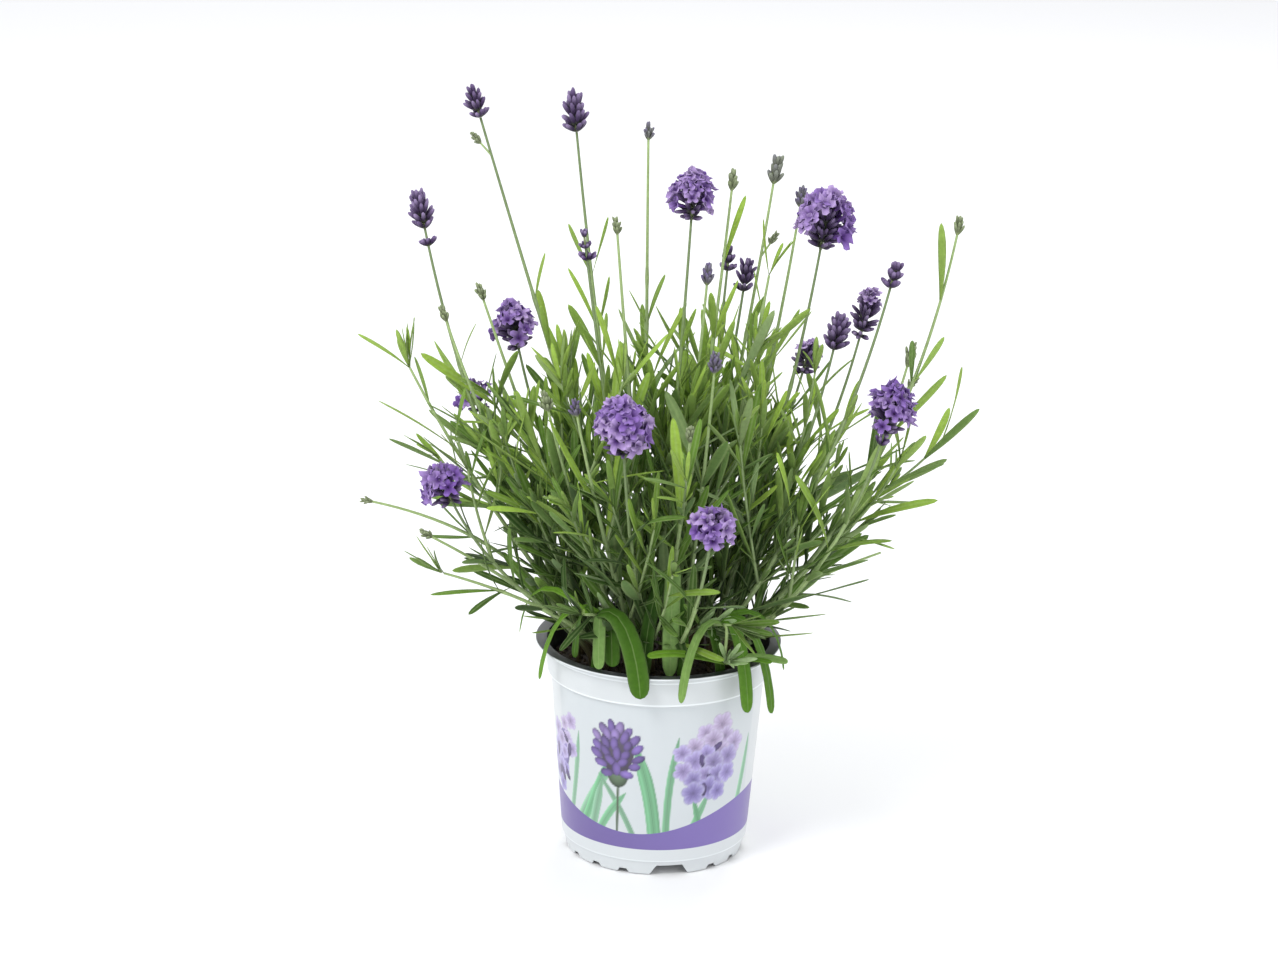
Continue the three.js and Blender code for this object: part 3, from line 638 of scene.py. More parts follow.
def dress_stem(stem, heads, material, index):
    """Everything that grew on one stem: its tube, leaves, tufts and side shoots, and its bud."""
    rng = np.random.default_rng([SEED, index])
    skin = Skin()
    broad, narrow = [], []
    extras = stem.extras
    nodes = leafy_part(stem, rng)
    main_stem(skin, stem, nodes, rng)
    turn = rng.uniform(0, math.pi)
    for k, (node, point, tangent) in enumerate(zip(nodes, *stem.at(nodes))):
        rise = min(node / LEAFY_HEIGHT, 1)
        angle = turn + k * math.pi / 2
        shade = 0.22 * (1 - min(rise * 2, 1))
        size = LEAF_LENGTH * (0.72 + 0.4 * math.sin(math.pi * min(rise + 0.12, 1))) * (0.7 + 0.3 * stem.upright)
        steep, bend = math.radians(46 - 25 * rise), math.radians(24 - 12 * rise)
        pair_of_leaves(broad, point, tangent, angle, size, steep, bend, rng, shade)
        for way in (0, math.pi):
            if rise < 0.8 and rng.random() < 0.45 * stem.upright:
                tuft(narrow, point, tangent, angle + way, rng.integers(1, 4), 18, rng, shade)
            if 0.04 < rise < 0.55 and rng.random() < SIDE_SHOOT_CHANCE * stem.upright:
                length = rng.uniform(40, 105) * (1 - 0.4 * rise)
                side_shoot(skin, broad, narrow, point, tangent, angle + way, length, rng, shade)
    if "head" not in extras and "bud" not in extras:
        tuft(narrow, stem.tip, stem.lean, 0, 7, 24, rng)
        pair_of_leaves(broad, stem.tip, stem.lean, turn, 30, 0.35, 0.2, rng)
    if "pair" in extras:
        spot = stem.at(extras["pair"] * stem.length)
        pair_of_leaves(broad, *spot, 0.4, 0.95 * LEAF_LENGTH, 0.32, 0.15, rng, -0.4, 0.8)
    for share, *leaf in extras.get("drooping", ()):
        drooping_leaf(skin, stem.at(share * stem.length)[0], *leaf, rng)
    if "hangs" in extras:
        hanging_knot(skin, narrow, stem, rng)
    for share in extras.get("knots", ()):
        for angle in (0, 2, 4):
            tuft(narrow, *stem.at(share * stem.length), angle, 4, 17, rng, felted=1.0)
    if "fork" in extras:
        fork(skin, stem, rng)
    if "collar" in extras:
        spot = stem.at(stem.length - extras["collar"])
        whorl(skin, *spot, 8, math.radians(42), 5.6, 1.1, CALYX_MID * 1.4, rng, 0.2)
    if "bud" in extras:
        base = stem.tip - 0.5 * stem.lean
        young_bud(skin, base, stem.lean, extras["bud"], rng, extras.get("ripe", 0.2))
    build_leaves(skin, broad, heads, BROAD_LEAF)
    build_leaves(skin, narrow, heads, NARROW_LEAF)
    return skin.make(stem.node.replace("stem", "growth").replace("shoot", "sprig"), material)


def hanging_knot(skin, narrow, stem, rng):
    """A short branch that bends down over the lip and ends in a knot of pale young leaves."""
    start, tangent = stem.at(0.9 * stem.length)
    end = np.array(KNOT, float)
    line = bezier((start, start + 5 * tangent, end + np.array([0, 0, 10]), end), np.linspace(0, 1, 11))
    twig(skin, line, 0.9, 0.8, LEAF_RIM)
    outward = unit(np.array([end[0], end[1], 30.0]))
    for angle in np.arange(5) * 1.3:
        tuft(narrow, end, outward, angle, 4, 17, rng, felted=1.0)
    for leaf in KNOT_LEAVES:
        drooping_leaf(skin, end, *leaf, rng, hang=0.0)


def drooping_leaf(skin, start, end, width, age, rng, hang=1.0):
    """A long leaf that arches outwards and hangs to its tip, or with no hang is held out level."""
    end = np.array(end, float)
    flat = np.array([end[0] - start[0], end[1] - start[1], 0])
    reach = np.linalg.norm(end - start)
    over = start + (0.35 + 0.20 * hang) * flat + np.array([0, 0, (0.14 + 0.16 * hang) * reach])
    above = end - (0.30 - 0.24 * hang) * flat + np.array([0, 0, (0.08 + 0.44 * hang) * reach])
    spine = bezier((start, over, above, end), np.append(DROOPING_LEAF.stations, 1.0))[None]
    way = unit(np.gradient(spine, axis=1))
    outward = unit(np.array([end[0], end[1], 0.0]))
    across = unit(np.cross(way, outward * 0.5 + np.array([0, 0, 1.0])))
    tint = (aged(age, rng) * HANGING_TONE)[None]
    upper = np.cross(across, way)
    build_blades(skin, spine, -across, upper, np.array([width]), tint, DROOPING_LEAF, felt=0.4)


def fork(skin, stem, rng):
    """A short side branch with a bud of its own."""
    point, tangent = stem.at(stem.extras["fork"] * stem.length)
    lean = math.copysign(0.45, point[0])
    cos, sin = math.cos(lean), math.sin(lean)
    branch = np.array([[cos, 0, sin], [0, 1, 0], [-sin, 0, cos]]) @ tangent
    end = straight_twig(skin, point, branch, 9, 5, 0.6, 0.5, STEM_GREEN)
    young_bud(skin, end - 0.5 * branch, branch, 8, rng)


# ---- Flowers

FLOWER_HELPER = (0.31, 0.17, 0.93)  # directions that no flower and no stem runs along
WHORL_HELPER = (0.2, 0.9, 0.1)
POD_SHARES = np.array([0, 0.12, 0.35, 0.62, 0.85, 0.96])
POD_RADII = np.array([0.40, 0.68, 0.92, 1.0, 0.80, 0.45])
COROLLA = np.array(
    # share of its length, share of its width, how far the five lobes part there
    [(0.0, 0.16, 0.0), (0.45, 0.19, 0.0), (0.68, 0.28, 0.05), (0.84, 0.58, 0.4), (0.93, 0.86, 0.85)]
    + [(0.96, 1.0, 1.0), (0.985, 0.985, 1.0), (0.96, 0.80, 0.8), (0.89, 0.50, 0.4), (0.76, 0.20, 0.05)]
)
# How far each row of the corolla has turned from the deep tone to the petal tone; the dark rows down the throat
# are partly the flower's own deeper violet, partly painted shade
COROLLA_TONE = np.array([0.1, 0.15, 0.35, 0.7, 0.9, 1.0, 1.0, 0.85, 0.6, 0.1])
GOLDEN_ANGLE = math.pi * (3 - math.sqrt(5))


def pods(skin, base, way, length, radius, foot, dark, light, sides=10):
    """Ribbed calyces: closed, club-shaped, greenish at the foot, dark in the middle, paler at the tip."""
    side, other = square_to(way, FLOWER_HELPER)
    rib = np.where(np.arange(sides) % 2 == 0, 1.0, 0.86)
    flat = rib[:, None] * turned(side[:, None, None], other[:, None, None], bearings(sides))
    middle = base[:, None] + way[:, None] * (POD_SHARES[None, :, None] * length[:, None, None])
    ring = middle[:, :, None] + flat * (radius[:, None] * POD_RADII)[..., None, None]

    def tone(up, ribs):
        colour = mix(foot, dark[:, None, None], smooth(0.0, 0.4, up))
        colour = mix(colour, light[:, None, None], smooth(0.45, 1.0, up))
        return colour * (0.55 + 0.45 * ribs)[..., None]

    tip_tone = tone(np.ones((1, 1)), np.ones((1, 1)))[:, 0, 0]
    skin.add_tubes(ring, tone(POD_SHARES[:, None], rib[None]), base + way * length[:, None], tip_tone)


def ring_ways(lean, count, spread, rng, scatter=0.12):
    """Directions of a whorl: evenly round the stem, each at about the same angle from it."""
    angle = 2 * math.pi * (np.arange(count) + rng.random()) / count + rng.normal(0, scatter, count)
    out = turned(*square_to(lean, WHORL_HELPER), angle)
    return out, unit(turned(lean, out, spread + rng.normal(0, scatter, count)))


def whorl(skin, point, lean, count, spread, length, radius, tone, rng, scatter=0.12):
    """A ring of calyces round a stem."""
    out, way = ring_ways(lean, count, spread, rng, scatter)
    size = length * rng.uniform(0.88, 1.1, count)
    light = mix(tone, CALYX_TIP, rng.uniform(0.2, 0.9, count))
    dark = mix(CALYX_DARK, tone, rng.uniform(0.0, 0.4, count))
    pods(skin, point + out * 0.5, way, size, radius * np.ones(count), BUD_GREEN * 0.30, dark, light)


def corollas(skin, base, way, length, width, palest, rng):
    """Flowers: a tube that opens flat into five broad lobes, closed again down its throat."""
    count, sides = len(base), 20
    side, other = square_to(way, FLOWER_HELPER)
    spin = rng.uniform(0, 2 * math.pi, count)
    angle = bearings(sides)
    lobe = np.abs(np.cos(2.5 * angle)) ** 0.5
    lip = 1 + 0.12 * np.cos(angle)
    share, radius, part = (column[:, None] for column in COROLLA.T)
    petal = radius * (1 - part * 0.50 * (1 - lobe)) * lip
    fold = 0.10 * part * (lobe - 0.5)
    flat = turned(side[:, None], other[:, None], angle + spin[:, None])
    wave = rng.normal(0, 0.085, (count, 1, sides)) * part
    limp = rng.normal(0, 0.14, (count, 1, 1)) * np.cos(angle) * part
    rise = share - fold + wave + limp
    ring = (
        base[:, None, None]
        + way[:, None, None] * (rise * length[:, None, None])[..., None]
        + flat[:, None] * (petal * (1 + wave) * width[:, None, None] / 2)[..., None]
    )
    pale = np.clip(rng.uniform(palest - 0.9, palest, count), 0, 1)
    petals = mix(PETAL_MID, PETAL_PALE, pale)[:, None, None]
    vein = (1 + 0.10 * part * np.cos(10 * angle)) * (0.80 + 0.24 * lobe)
    # painted shade down the throat: the inner rows turn to the deep tone and the throat closes in a near-black
    # point
    colour = mix(PETAL_DEEP, petals, COROLLA_TONE[:, None]) * vein[..., None]
    throat = base + way * (0.55 * length)[:, None]
    skin.add_tubes(ring, colour, throat, np.tile(CALYX_DARK, (count, 1)))


def reach_of_head(height, spread, long, half):
    """How far a flower can reach from its place on the stem before it leaves the head's oval."""
    middle, tall = 0.48 * long, 0.54 * long
    side, up = np.sin(spread) / half, np.cos(spread) / tall
    start = (height - middle) / tall
    a, b, c = side**2 + up**2, start * up, start**2 - 1
    return (-b + np.sqrt(np.maximum(b * b - a * c, 0))) / a


def spike(skin, base, lean, long, wide, rng):
    """A tight head of calyces in whorls, widest below the middle."""
    rows = max(2, round(long / 4.2))
    straight_twig(skin, base, lean, long * 0.7, 5, 0.8, 0.5, BUD_GREEN * 0.7)
    for row in range(rows):
        share = row / max(rows - 1, 1)
        spread = math.radians(50 - 38 * share)
        height = (0.02 + 0.58 * share) * long
        reach = min(reach_of_head(height, spread, long, wide / 2), 0.44 * long)
        count = 8 if share < 0.9 else 5
        tone = CALYX_MID * rng.uniform(0.8, 1.1)
        whorl(skin, base + lean * height, lean, count, spread, reach, 0.105 * wide, tone, rng)


def young_bud(skin, base, lean, long, rng, ripe=0.25):
    """A plump young head: green at the foot, with tips that turn violet and part as it ripens."""
    straight_twig(skin, base, lean, long * 0.6, 4, 0.6, 0.5, STEM_GREEN)
    opening = 0.8 + 0.35 * ripe
    # the darker green middles of the calyces are painted shade between the crowded calyces; ripening turns them
    # partly to the calyces' own violet
    dark = mix(BUD_GREEN * 0.55, CALYX_MID * 1.3, 0.55 * ripe)
    for share, count, spread in ((0.0, 7, 0.50), (0.22, 7, 0.38), (0.46, 5, 0.20)):
        out, way = ring_ways(lean, count, spread * opening, rng, 0.14)
        size = (0.54 - 0.08 * share) * long * rng.uniform(0.8, 1.12, count)
        light = mix(BUD_GREEN * 1.1, BUD_LILAC, ripe * rng.uniform(0.6, 1.0, count))
        radius = 0.08 * long * rng.uniform(0.85, 1.15, count)
        foot = base + lean * share * long + out * 0.3
        pods(skin, foot, way, size, radius, BUD_GREEN, np.tile(dark, (count, 1)), light, 8)


def open_head(skin, base, lean, long, wide, rng, full):
    """A spike of dark calyces, and the flowers that open over it from the top, with gaps between."""
    openness = 1.0 if full else 0.42
    half, tall = wide / 2, long / 2
    inner = (0.74 if full else 0.92) * half
    rows = max(3, round(long / 4.4))
    straight_twig(skin, base, lean, long * 0.7, 6, 0.9, 0.6, BUD_GREEN * 0.5)
    for row in range(rows):
        share = row / (rows - 1)
        spread = math.radians(78 - 60 * share)
        height = (0.04 + 0.58 * share) * long
        reach = min(reach_of_head(height, spread, long, inner), 10)
        whorl(skin, base + lean * height, lean, 9, spread, reach, 1.2, CALYX_MID * 0.8, rng, 0.26)
    count = round(openness * long * wide / 22)
    order = np.arange(count)
    down = np.arccos(0.99 - 1.42 * openness * (order + 0.5) / count)
    turn = order * GOLDEN_ANGLE + rng.normal(0, 0.18, count)
    out = turned(*square_to(lean, WHORL_HELPER), turn)
    open_now = rng.random(count) < 0.94 - 0.55 * smooth(1.35, 1.95, down)
    bare = -0.75 * np.array([0, 1, 0]) + 0.5 * rng.normal(0, 1, 3)  # where no flower has opened yet
    facing = unit(turned(lean, out, down))
    open_now &= facing @ unit(bare - 0.35 * lean) < (0.90 if wide > 24 else 0.96)
    down, out = down[open_now], out[open_now]
    count = len(down)
    tilt = 0.12 + 0.66 * down + rng.normal(0, 0.18, count)
    way = unit(turned(lean, out, tilt))
    swell = half * np.sin(down) * (1 - 0.20 * np.cos(down))
    mouth = base + lean * (tall * (1 + np.cos(down)))[:, None] + out * swell[:, None]
    size = (0.22 * wide + 2.0) * rng.uniform(0.85, 1.15, count)
    width = min(0.26 * wide + 3.8, 11.5) * rng.uniform(0.85, 1.15, count)
    mouth = mouth - way * rng.uniform(0, 2.6, count)[:, None]
    if not full:  # the first flowers of a head stand up over it, large and pale
        mouth = mouth + 1.5 * lean
        width = 1.15 * width
    corollas(skin, mouth - way * size[:, None], way, size, width, 0.95 if full else 1.9, rng)


def build_head(stem, material, index):
    rng = np.random.default_rng([SEED, HEAD_SEEDS + index])
    long, wide, kind = stem.extras["head"]
    skin = Skin()
    base = stem.tip + 0.1 * stem.lean
    if kind == "bud":
        spike(skin, base, stem.lean, long, wide, rng)
    else:
        open_head(skin, base, stem.lean, long, wide, rng, full=kind == "open")
    return skin.make(stem.node.replace("flower_stem", "bloom"), material)


# ---- Pot

POT_SIDES = 560
SLEEVE_FOOT = 15  # the printed band starts here
SLEEVE_ROWS = 96
BAND_ROWS = 14


def notch_height(bearing):
    """How high the foot skirt is cut away at each bearing, in degrees."""
    height = np.zeros_like(bearing)
    cuts = []
    for i in range(WIDE_NOTCHES):
        wide = FIRST_NOTCH_BEARING + 360 / WIDE_NOTCHES * i
        cuts.append((wide, WIDE_NOTCH, NOTCH_DEPTH))
        cuts += [(wide + turn, SMALL_NOTCH, SMALL_NOTCH_DEPTH) for turn in SMALL_NOTCH_BEARINGS]
    for middle, (mouth, top), depth in cuts:
        off = np.abs((bearing - middle + 180) % 360 - 180)
        away = np.radians(off) * FOOT_RADIUS
        rise = np.clip((mouth / 2 - away) / ((mouth - top) / 2), 0, 1)
        height = np.maximum(height, depth * rise)
    return height


def wall_radius(z):
    share = (z - SKIRT_HEIGHT) / (STEP_Z - STEP_SLOPE - SKIRT_HEIGHT)
    return WALL_FOOT_RADIUS + (WALL_TOP_RADIUS - WALL_FOOT_RADIUS) * np.clip(share, 0, 1)


def band_top(bearing):
    """The wave along the top of the printed band: two waves round the pot, lowest near the front."""
    return 24 + 16 * np.sin(np.radians(bearing + 90 + 14)) ** 2


def build_pot(material):
    """The moulded shell from the middle of its underside, up its outside and down its inside."""
    bearing = 360 * np.arange(POT_SIDES) / POT_SIDES
    notch = notch_height(bearing)
    even = np.ones(POT_SIDES)
    rows = []

    def rings(tone, table):
        """Rows of radius, height and a gain on the tone, over 1 where light is painted on: painted highlights
        on the white ridges and painted light on the black lip top.
        """
        for radius, z, painted_light in table:
            rows.append((radius * even, z * even, np.broadcast_to(tone * painted_light, (POT_SIDES, 3))))

    flare = SKIRT_FLARE / SKIRT_HEIGHT
    skirt_inner = FOOT_RADIUS - WALL
    rings(POT_WHITE, [
        (0.5, FLOOR_HEIGHT, 1),
        (20, FLOOR_HEIGHT, 1),
        (skirt_inner + SKIRT_FLARE * FLOOR_HEIGHT / SKIRT_HEIGHT - 0.4, FLOOR_HEIGHT, 1),
        (skirt_inner + SKIRT_FLARE * (FLOOR_HEIGHT - 0.4) / SKIRT_HEIGHT, FLOOR_HEIGHT - 0.4, 1),
        (skirt_inner + flare * (notch + 0.2), notch + 0.2, 1),
        (skirt_inner + 0.2 + flare * notch, notch, 1),
        (FOOT_RADIUS - 0.2 + flare * notch, notch, 1),
        (FOOT_RADIUS + flare * (notch + 0.2), notch + 0.2, 1),
        (SKIRT_TOP_RADIUS - flare, SKIRT_HEIGHT - 1, 1),
        (SKIRT_TOP_RADIUS, SKIRT_HEIGHT, 1),
        # painted highlight along the skirt ledge
        (WALL_FOOT_RADIUS - 0.2, SKIRT_HEIGHT + 0.25, 1.25),
        (WALL_FOOT_RADIUS + 0.05, SKIRT_HEIGHT + 0.8, 1.25),
        (wall_radius(SKIRT_HEIGHT + 1.3), SKIRT_HEIGHT + 1.3, 1),
        (wall_radius(SLEEVE_FOOT - 0.4), SLEEVE_FOOT - 0.4, 1),
        (wall_radius(SLEEVE_FOOT), SLEEVE_FOOT, 1),
    ])
    wave = band_top(bearing)
    sleeve_top = STEP_Z - STEP_SLOPE - 0.4
    heights = [SLEEVE_FOOT + 0.12 + (wave - SLEEVE_FOOT - 0.3) * k / BAND_ROWS for k in range(BAND_ROWS + 1)]
    heights += [wave + (sleeve_top - wave) * (k / SLEEVE_ROWS) for k in range(SLEEVE_ROWS + 1)]
    rows += [(wall_radius(z), z * even, print_colour(bearing, z * even, wave)) for z in heights]
    lip_foot = POT_HEIGHT - LIP_DEPTH
    shoulder = POT_HEIGHT - SHOULDER_DROP
    taper = COLLAR_TAPER / (lip_foot - STEP_Z)
    shoulder_radius = COLLAR_FOOT_RADIUS + taper * (shoulder - STEP_Z)
    rings(POT_WHITE, [
        (WALL_TOP_RADIUS, STEP_Z - STEP_SLOPE, 1),
        (COLLAR_FOOT_RADIUS - 0.3, STEP_Z - 0.1, 1),
        # painted highlight along the foot of the collar
        (COLLAR_FOOT_RADIUS, STEP_Z + 0.25, 1.3),
        (COLLAR_FOOT_RADIUS + 0.08, STEP_Z + 0.8, 1.3),
        (COLLAR_FOOT_RADIUS + 0.12, STEP_Z + 1.2, 1),
        (shoulder_radius, shoulder, 1),
        # painted highlight along the shoulder bead
        (shoulder_radius + SHOULDER_OUT - 0.05, shoulder + 0.3, 1.28),
        (shoulder_radius + SHOULDER_OUT + 0.03, shoulder + 0.75, 1.28),
        (shoulder_radius + SHOULDER_OUT + 0.05, shoulder + 1.1, 1),
        (COLLAR_TOP_RADIUS + SHOULDER_OUT, lip_foot - 0.5, 1),
        (COLLAR_TOP_RADIUS + 1.0, lip_foot, 1),
        # painted highlight round the outer edge of the lip
        (LIP_RADIUS - 0.3, lip_foot, 1.1),
        (LIP_RADIUS, lip_foot + 0.3, 1.2),
        (LIP_RADIUS, POT_HEIGHT - 0.35, 1.2),
        (LIP_RADIUS - 0.12, POT_HEIGHT - 0.1, 1),
    ])
    floor_top = FLOOR_HEIGHT + FLOOR_THICKNESS
    rings(POT_BLACK, [
        # painted light on the black lip top, palest at its outer edge and fading down into the mouth; the black
        # itself is the pot's own inner layer
        (LIP_RADIUS - 0.4, POT_HEIGHT, 1.9),
        (LIP_RADIUS - 2.5, POT_HEIGHT - 0.1, 1.6),
        (MOUTH_RADIUS + 0.6, POT_HEIGHT - 0.15, 1.5),
        (MOUTH_RADIUS + 0.1, POT_HEIGHT - 0.4, 1.2),
        (MOUTH_RADIUS, lip_foot - 0.2, 1),
        (COLLAR_FOOT_RADIUS - WALL, STEP_Z, 1),
        (WALL_TOP_RADIUS - WALL, STEP_Z - STEP_SLOPE, 1),
        (wall_radius(floor_top) - WALL, floor_top, 1),
        (20, floor_top, 1),
        (0.5, floor_top, 1),
    ])
    around = np.radians(bearing)
    skin = Skin()
    points = np.array([circle(radius, around, z) for radius, z, _ in rows])
    skin.add_tubes(points[None], np.array([colour for _, _, colour in rows]))
    pot = skin.make("moulded_pot", material, sharp_angle=math.radians(38))
    drill_drains(pot, material)
    return pot


def drill_drains(pot, material):
    """Six round holes through the pot's floor."""
    drills = Skin()
    ends = (FLOOR_HEIGHT - 2, FLOOR_HEIGHT + FLOOR_THICKNESS + 2)
    for turn in bearings(DRAIN_HOLES):
        middle = DRAIN_RING_RADIUS * np.array([math.cos(turn), math.sin(turn), 0])
        points = np.array([middle + circle(DRAIN_HOLE_RADIUS, bearings(32), z) for z in ends])
        drills.add_tubes(points[None], POT_WHITE)
    drill = drills.make("drain_drills", material)
    cut = pot.modifiers.new("drains", "BOOLEAN")
    cut.operation = "DIFFERENCE"
    cut.solver = "MANIFOLD"
    cut.object = drill
    bpy.context.view_layer.update()
    shaped = bpy.data.meshes.new_from_object(pot.evaluated_get(bpy.context.evaluated_depsgraph_get()))
    pot.modifiers.clear()
    pot.data = shaped
    bpy.data.objects.remove(drill)


# ---- Print

PRINT_PERIOD = 180  # the picture comes twice round the pot
PRINT_RADIUS = 53.5  # the wall's middle radius, which turns bearings into places across the picture
# The printed blades: foot, tip, width, bow
BLADES = [
    ((-50, 20), (-21, 64), 5.0, 1.0),
    ((-47, 18), (-27, 63), 5.0, -1.0),
    ((-38, 20), (-30, 52), 5.4, 0.0),
    ((-11, 20), (-32, 56), 3.4, -1.5),
    ((-34, 20), (-16, 47), 4.6, 1.0),
    ((0, 20), (-11.5, 76), 7.6, -2.0),
    ((6, 20), (11.5, 80), 4.2, 1.5),
    ((18, 20), (30, 46), 4.4, 0.0),
    ((48, 20), (58.5, 73), 4.4, -1.5),
    ((-54, 28), (-45, 76), 3.8, -1.0),
    ((27, 20), (21, 44), 3.6, 0.0),
]
# Rows of a printed bud spike from its top: height over its middle, half width, buds
PRINTED_ROWS = ((14, 6.5, 4), (9.5, 10.5, 5), (4.5, 11.5, 5), (-0.5, 11.5, 5), (-5.5, 10.0, 4), (-10, 5.5, 3))


class Print:
    """Part of the printed sleeve: places s across and z up, and the colours painted there so far."""

    def __init__(self, s, z, ground):
        self.s, self.z = s, z
        self.colour = np.tile(ground, (len(s), 1))

    def paint(self, tone, cover):
        self.colour = mix(self.colour, tone, cover)

    def blot(self, middle, size, turn, tone, edge=0.5, soft=0.5):
        """An ellipse in a tone that darkens towards its rim."""
        dx, dz = self.s - middle[0], self.z - middle[1]
        cos, sin = math.cos(turn), math.sin(turn)
        a = (cos * dx + sin * dz) / size[0]
        b = (-sin * dx + cos * dz) / size[1]
        reach = np.hypot(a, b)
        shade = np.clip(1 - edge * reach**2 + 0.25 * b, 0.2, 1.6)
        self.paint(tone * shade[..., None], 1 - smooth(1 - soft / max(size), 1 + 0.02, reach))

    def blade(self, foot, tip, width, tone, bow=0.0):
        """A leaf or a stem, from its foot to its pointed tip."""
        foot, tip = np.array(foot, float), np.array(tip, float)
        length = np.linalg.norm(tip - foot)
        way = (tip - foot) / length
        dx, dz = self.s - foot[0], self.z - foot[1]
        along = (dx * way[0] + dz * way[1]) / length
        off = dx * -way[1] + dz * way[0] - bow * np.sin(math.pi * np.clip(along, 0, 1))
        half = width / 2 * np.clip(1.1 - np.clip(along, 0, 1) ** 5, 0.05, 1)
        cover = (1 - smooth(half - 0.3, half + 0.15, np.abs(off))) * (along > 0) * (along < 1)
        streak = 1 + 0.28 * off / width + 0.12 * np.cos(off * 3.1) - 0.42 * np.exp(-((off / 0.45) ** 2))
        self.paint(tone * streak[..., None], cover)

    def star(self, middle, size, turn, tone):
        """An open flower: five lobes, dark in the middle and pale at the edge."""
        dx, dz = self.s - middle[0], self.z - middle[1]
        angle = np.arctan2(dz, dx) + turn
        lobe = 0.70 + 0.30 * np.abs(np.cos(2.5 * angle)) ** 0.6
        reach = np.hypot(dx, dz) / (size * lobe)
        inside = np.clip(reach, 0, 1)
        shade = 0.45 + 0.75 * inside**0.7 + 0.07 * np.cos(13 * angle) - 0.35 * smooth(0.86, 1.0, reach)
        paler = mix(tone, PRINT_GROUND, 0.35 * inside**3)
        self.paint(paler * np.clip(shade, 0.2, 1.4)[..., None], 1 - smooth(1 - 0.5 / size, 1.03, reach))

    def spike(self, middle, rng):
        """A bud spike: plump violet calyces in rows, with dark hollows between them."""
        x, y = middle
        self.blade((x - 0.5, 20), (x + 1, y - 10), 1.6, np.array([0.12, 0.17, 0.11]))
        self.blot((x + 0.5, y - 13), (6, 7.5), 0, np.array([0.13, 0.20, 0.12]), edge=0.6)
        self.blot((x, y + 1), (9.5, 14.5), 0, PRINT_DARK * 1.4, edge=0.2)
        for height, half, count in PRINTED_ROWS:
            for k in sorted(range(count), key=lambda k: -abs(2 * k - count + 1)):
                away = 2 * k / (count - 1) - 1
                place = (x + half * away + rng.normal(0, 0.5), y + height - 2.2 * away**2 + rng.normal(0, 0.5))
                turn = math.atan2(height + 9, 14 * away)
                tone = mix(PRINT_BUD * rng.uniform(0.95, 1.7), PRINT_ROSE, 0.35 * (height > 5) * rng.random())
                self.blot(place, (rng.uniform(3.4, 4.4), rng.uniform(2.1, 2.7)), turn, tone, edge=0.6)

    def flower(self, middle, size, rng, count):
        """A flower head: open flowers from the pale top down, with dark calyces between."""
        tilt = -0.35
        self.blot((middle[0], middle[1] - 2), (size[0] * 0.55, size[1] * 0.6), tilt, PRINT_LILAC)
        reach = np.sqrt((np.arange(count) + 0.5) / count) * 0.86
        turn = np.arange(count) * GOLDEN_ANGLE
        x, y = reach * np.cos(turn) * size[0], reach * np.sin(turn) * size[1]
        across, up = x * math.cos(tilt) - y * math.sin(tilt), x * math.sin(tilt) + y * math.cos(tilt)
        for i in np.argsort(-up):
            place = (middle[0] + across[i], middle[1] + up[i])
            pale = np.clip(0.35 + 0.75 * up[i] / size[1] + rng.normal(0, 0.15), 0, 0.9)
            tone = mix(PRINT_LILAC * rng.uniform(0.85, 1.25), PRINT_ROSE, pale)
            petal = rng.uniform(5.4, 7.8) * (size[0] / 21) ** 0.5
            self.star(place, petal, rng.uniform(0, 6), tone)
            if up[i] < 0.3 * size[1] and rng.random() < 0.5:
                near = (place[0] * 0.6 + middle[0] * 0.4 + rng.normal(0, 2), place[1] + rng.normal(0, 3))
                self.blot(near, (1.9, 4.2), rng.normal(0, 0.6), PRINT_BUD * 0.6)


def print_colour(bearing, z, wave):
    """The printed sleeve: a violet wave below, mint blades, a bud spike and two flower heads."""
    front = (bearing + 90 + PRINT_PERIOD / 2) % PRINT_PERIOD - PRINT_PERIOD / 2
    s = np.radians(front) * PRINT_RADIUS
    rng = np.random.default_rng(SEED)
    sleeve = Print(s, z, PRINT_GROUND)
    sleeve.paint(POT_WHITE, smooth(60, 62, np.abs(s)))
    for foot, tip, width, bow in BLADES:
        tone = mix(PRINT_MINT * rng.uniform(0.85, 1.15), PRINT_GROUND, 0.05 + 0.25 * rng.random())
        sleeve.blade(foot, tip, width, tone, bow)
    sleeve.spike((-21, 70), rng)
    sleeve.flower((29, 64), (21, 25), rng, 20)
    sleeve.flower((-62, 60), (13, 28), rng, 13)
    grade = PRINT_BAND * (1.0 + 0.12 * np.sin(np.radians(front * 2)))[:, None]
    return np.where((z <= wave - 0.05)[:, None], grade, sleeve.colour)


# ---- Peat

CRUMBS = 900
LUMP_FACES = np.array(
    [(0, 11, 5), (0, 5, 1), (0, 1, 7), (0, 7, 10), (0, 10, 11), (1, 5, 9), (5, 11, 4)]
    + [(11, 10, 2), (10, 7, 6), (7, 1, 8), (3, 9, 4), (3, 4, 2), (3, 2, 6), (3, 6, 8)]
    + [(3, 8, 9), (4, 9, 5), (2, 4, 11), (6, 2, 10), (8, 6, 7), (9, 8, 1)]
)


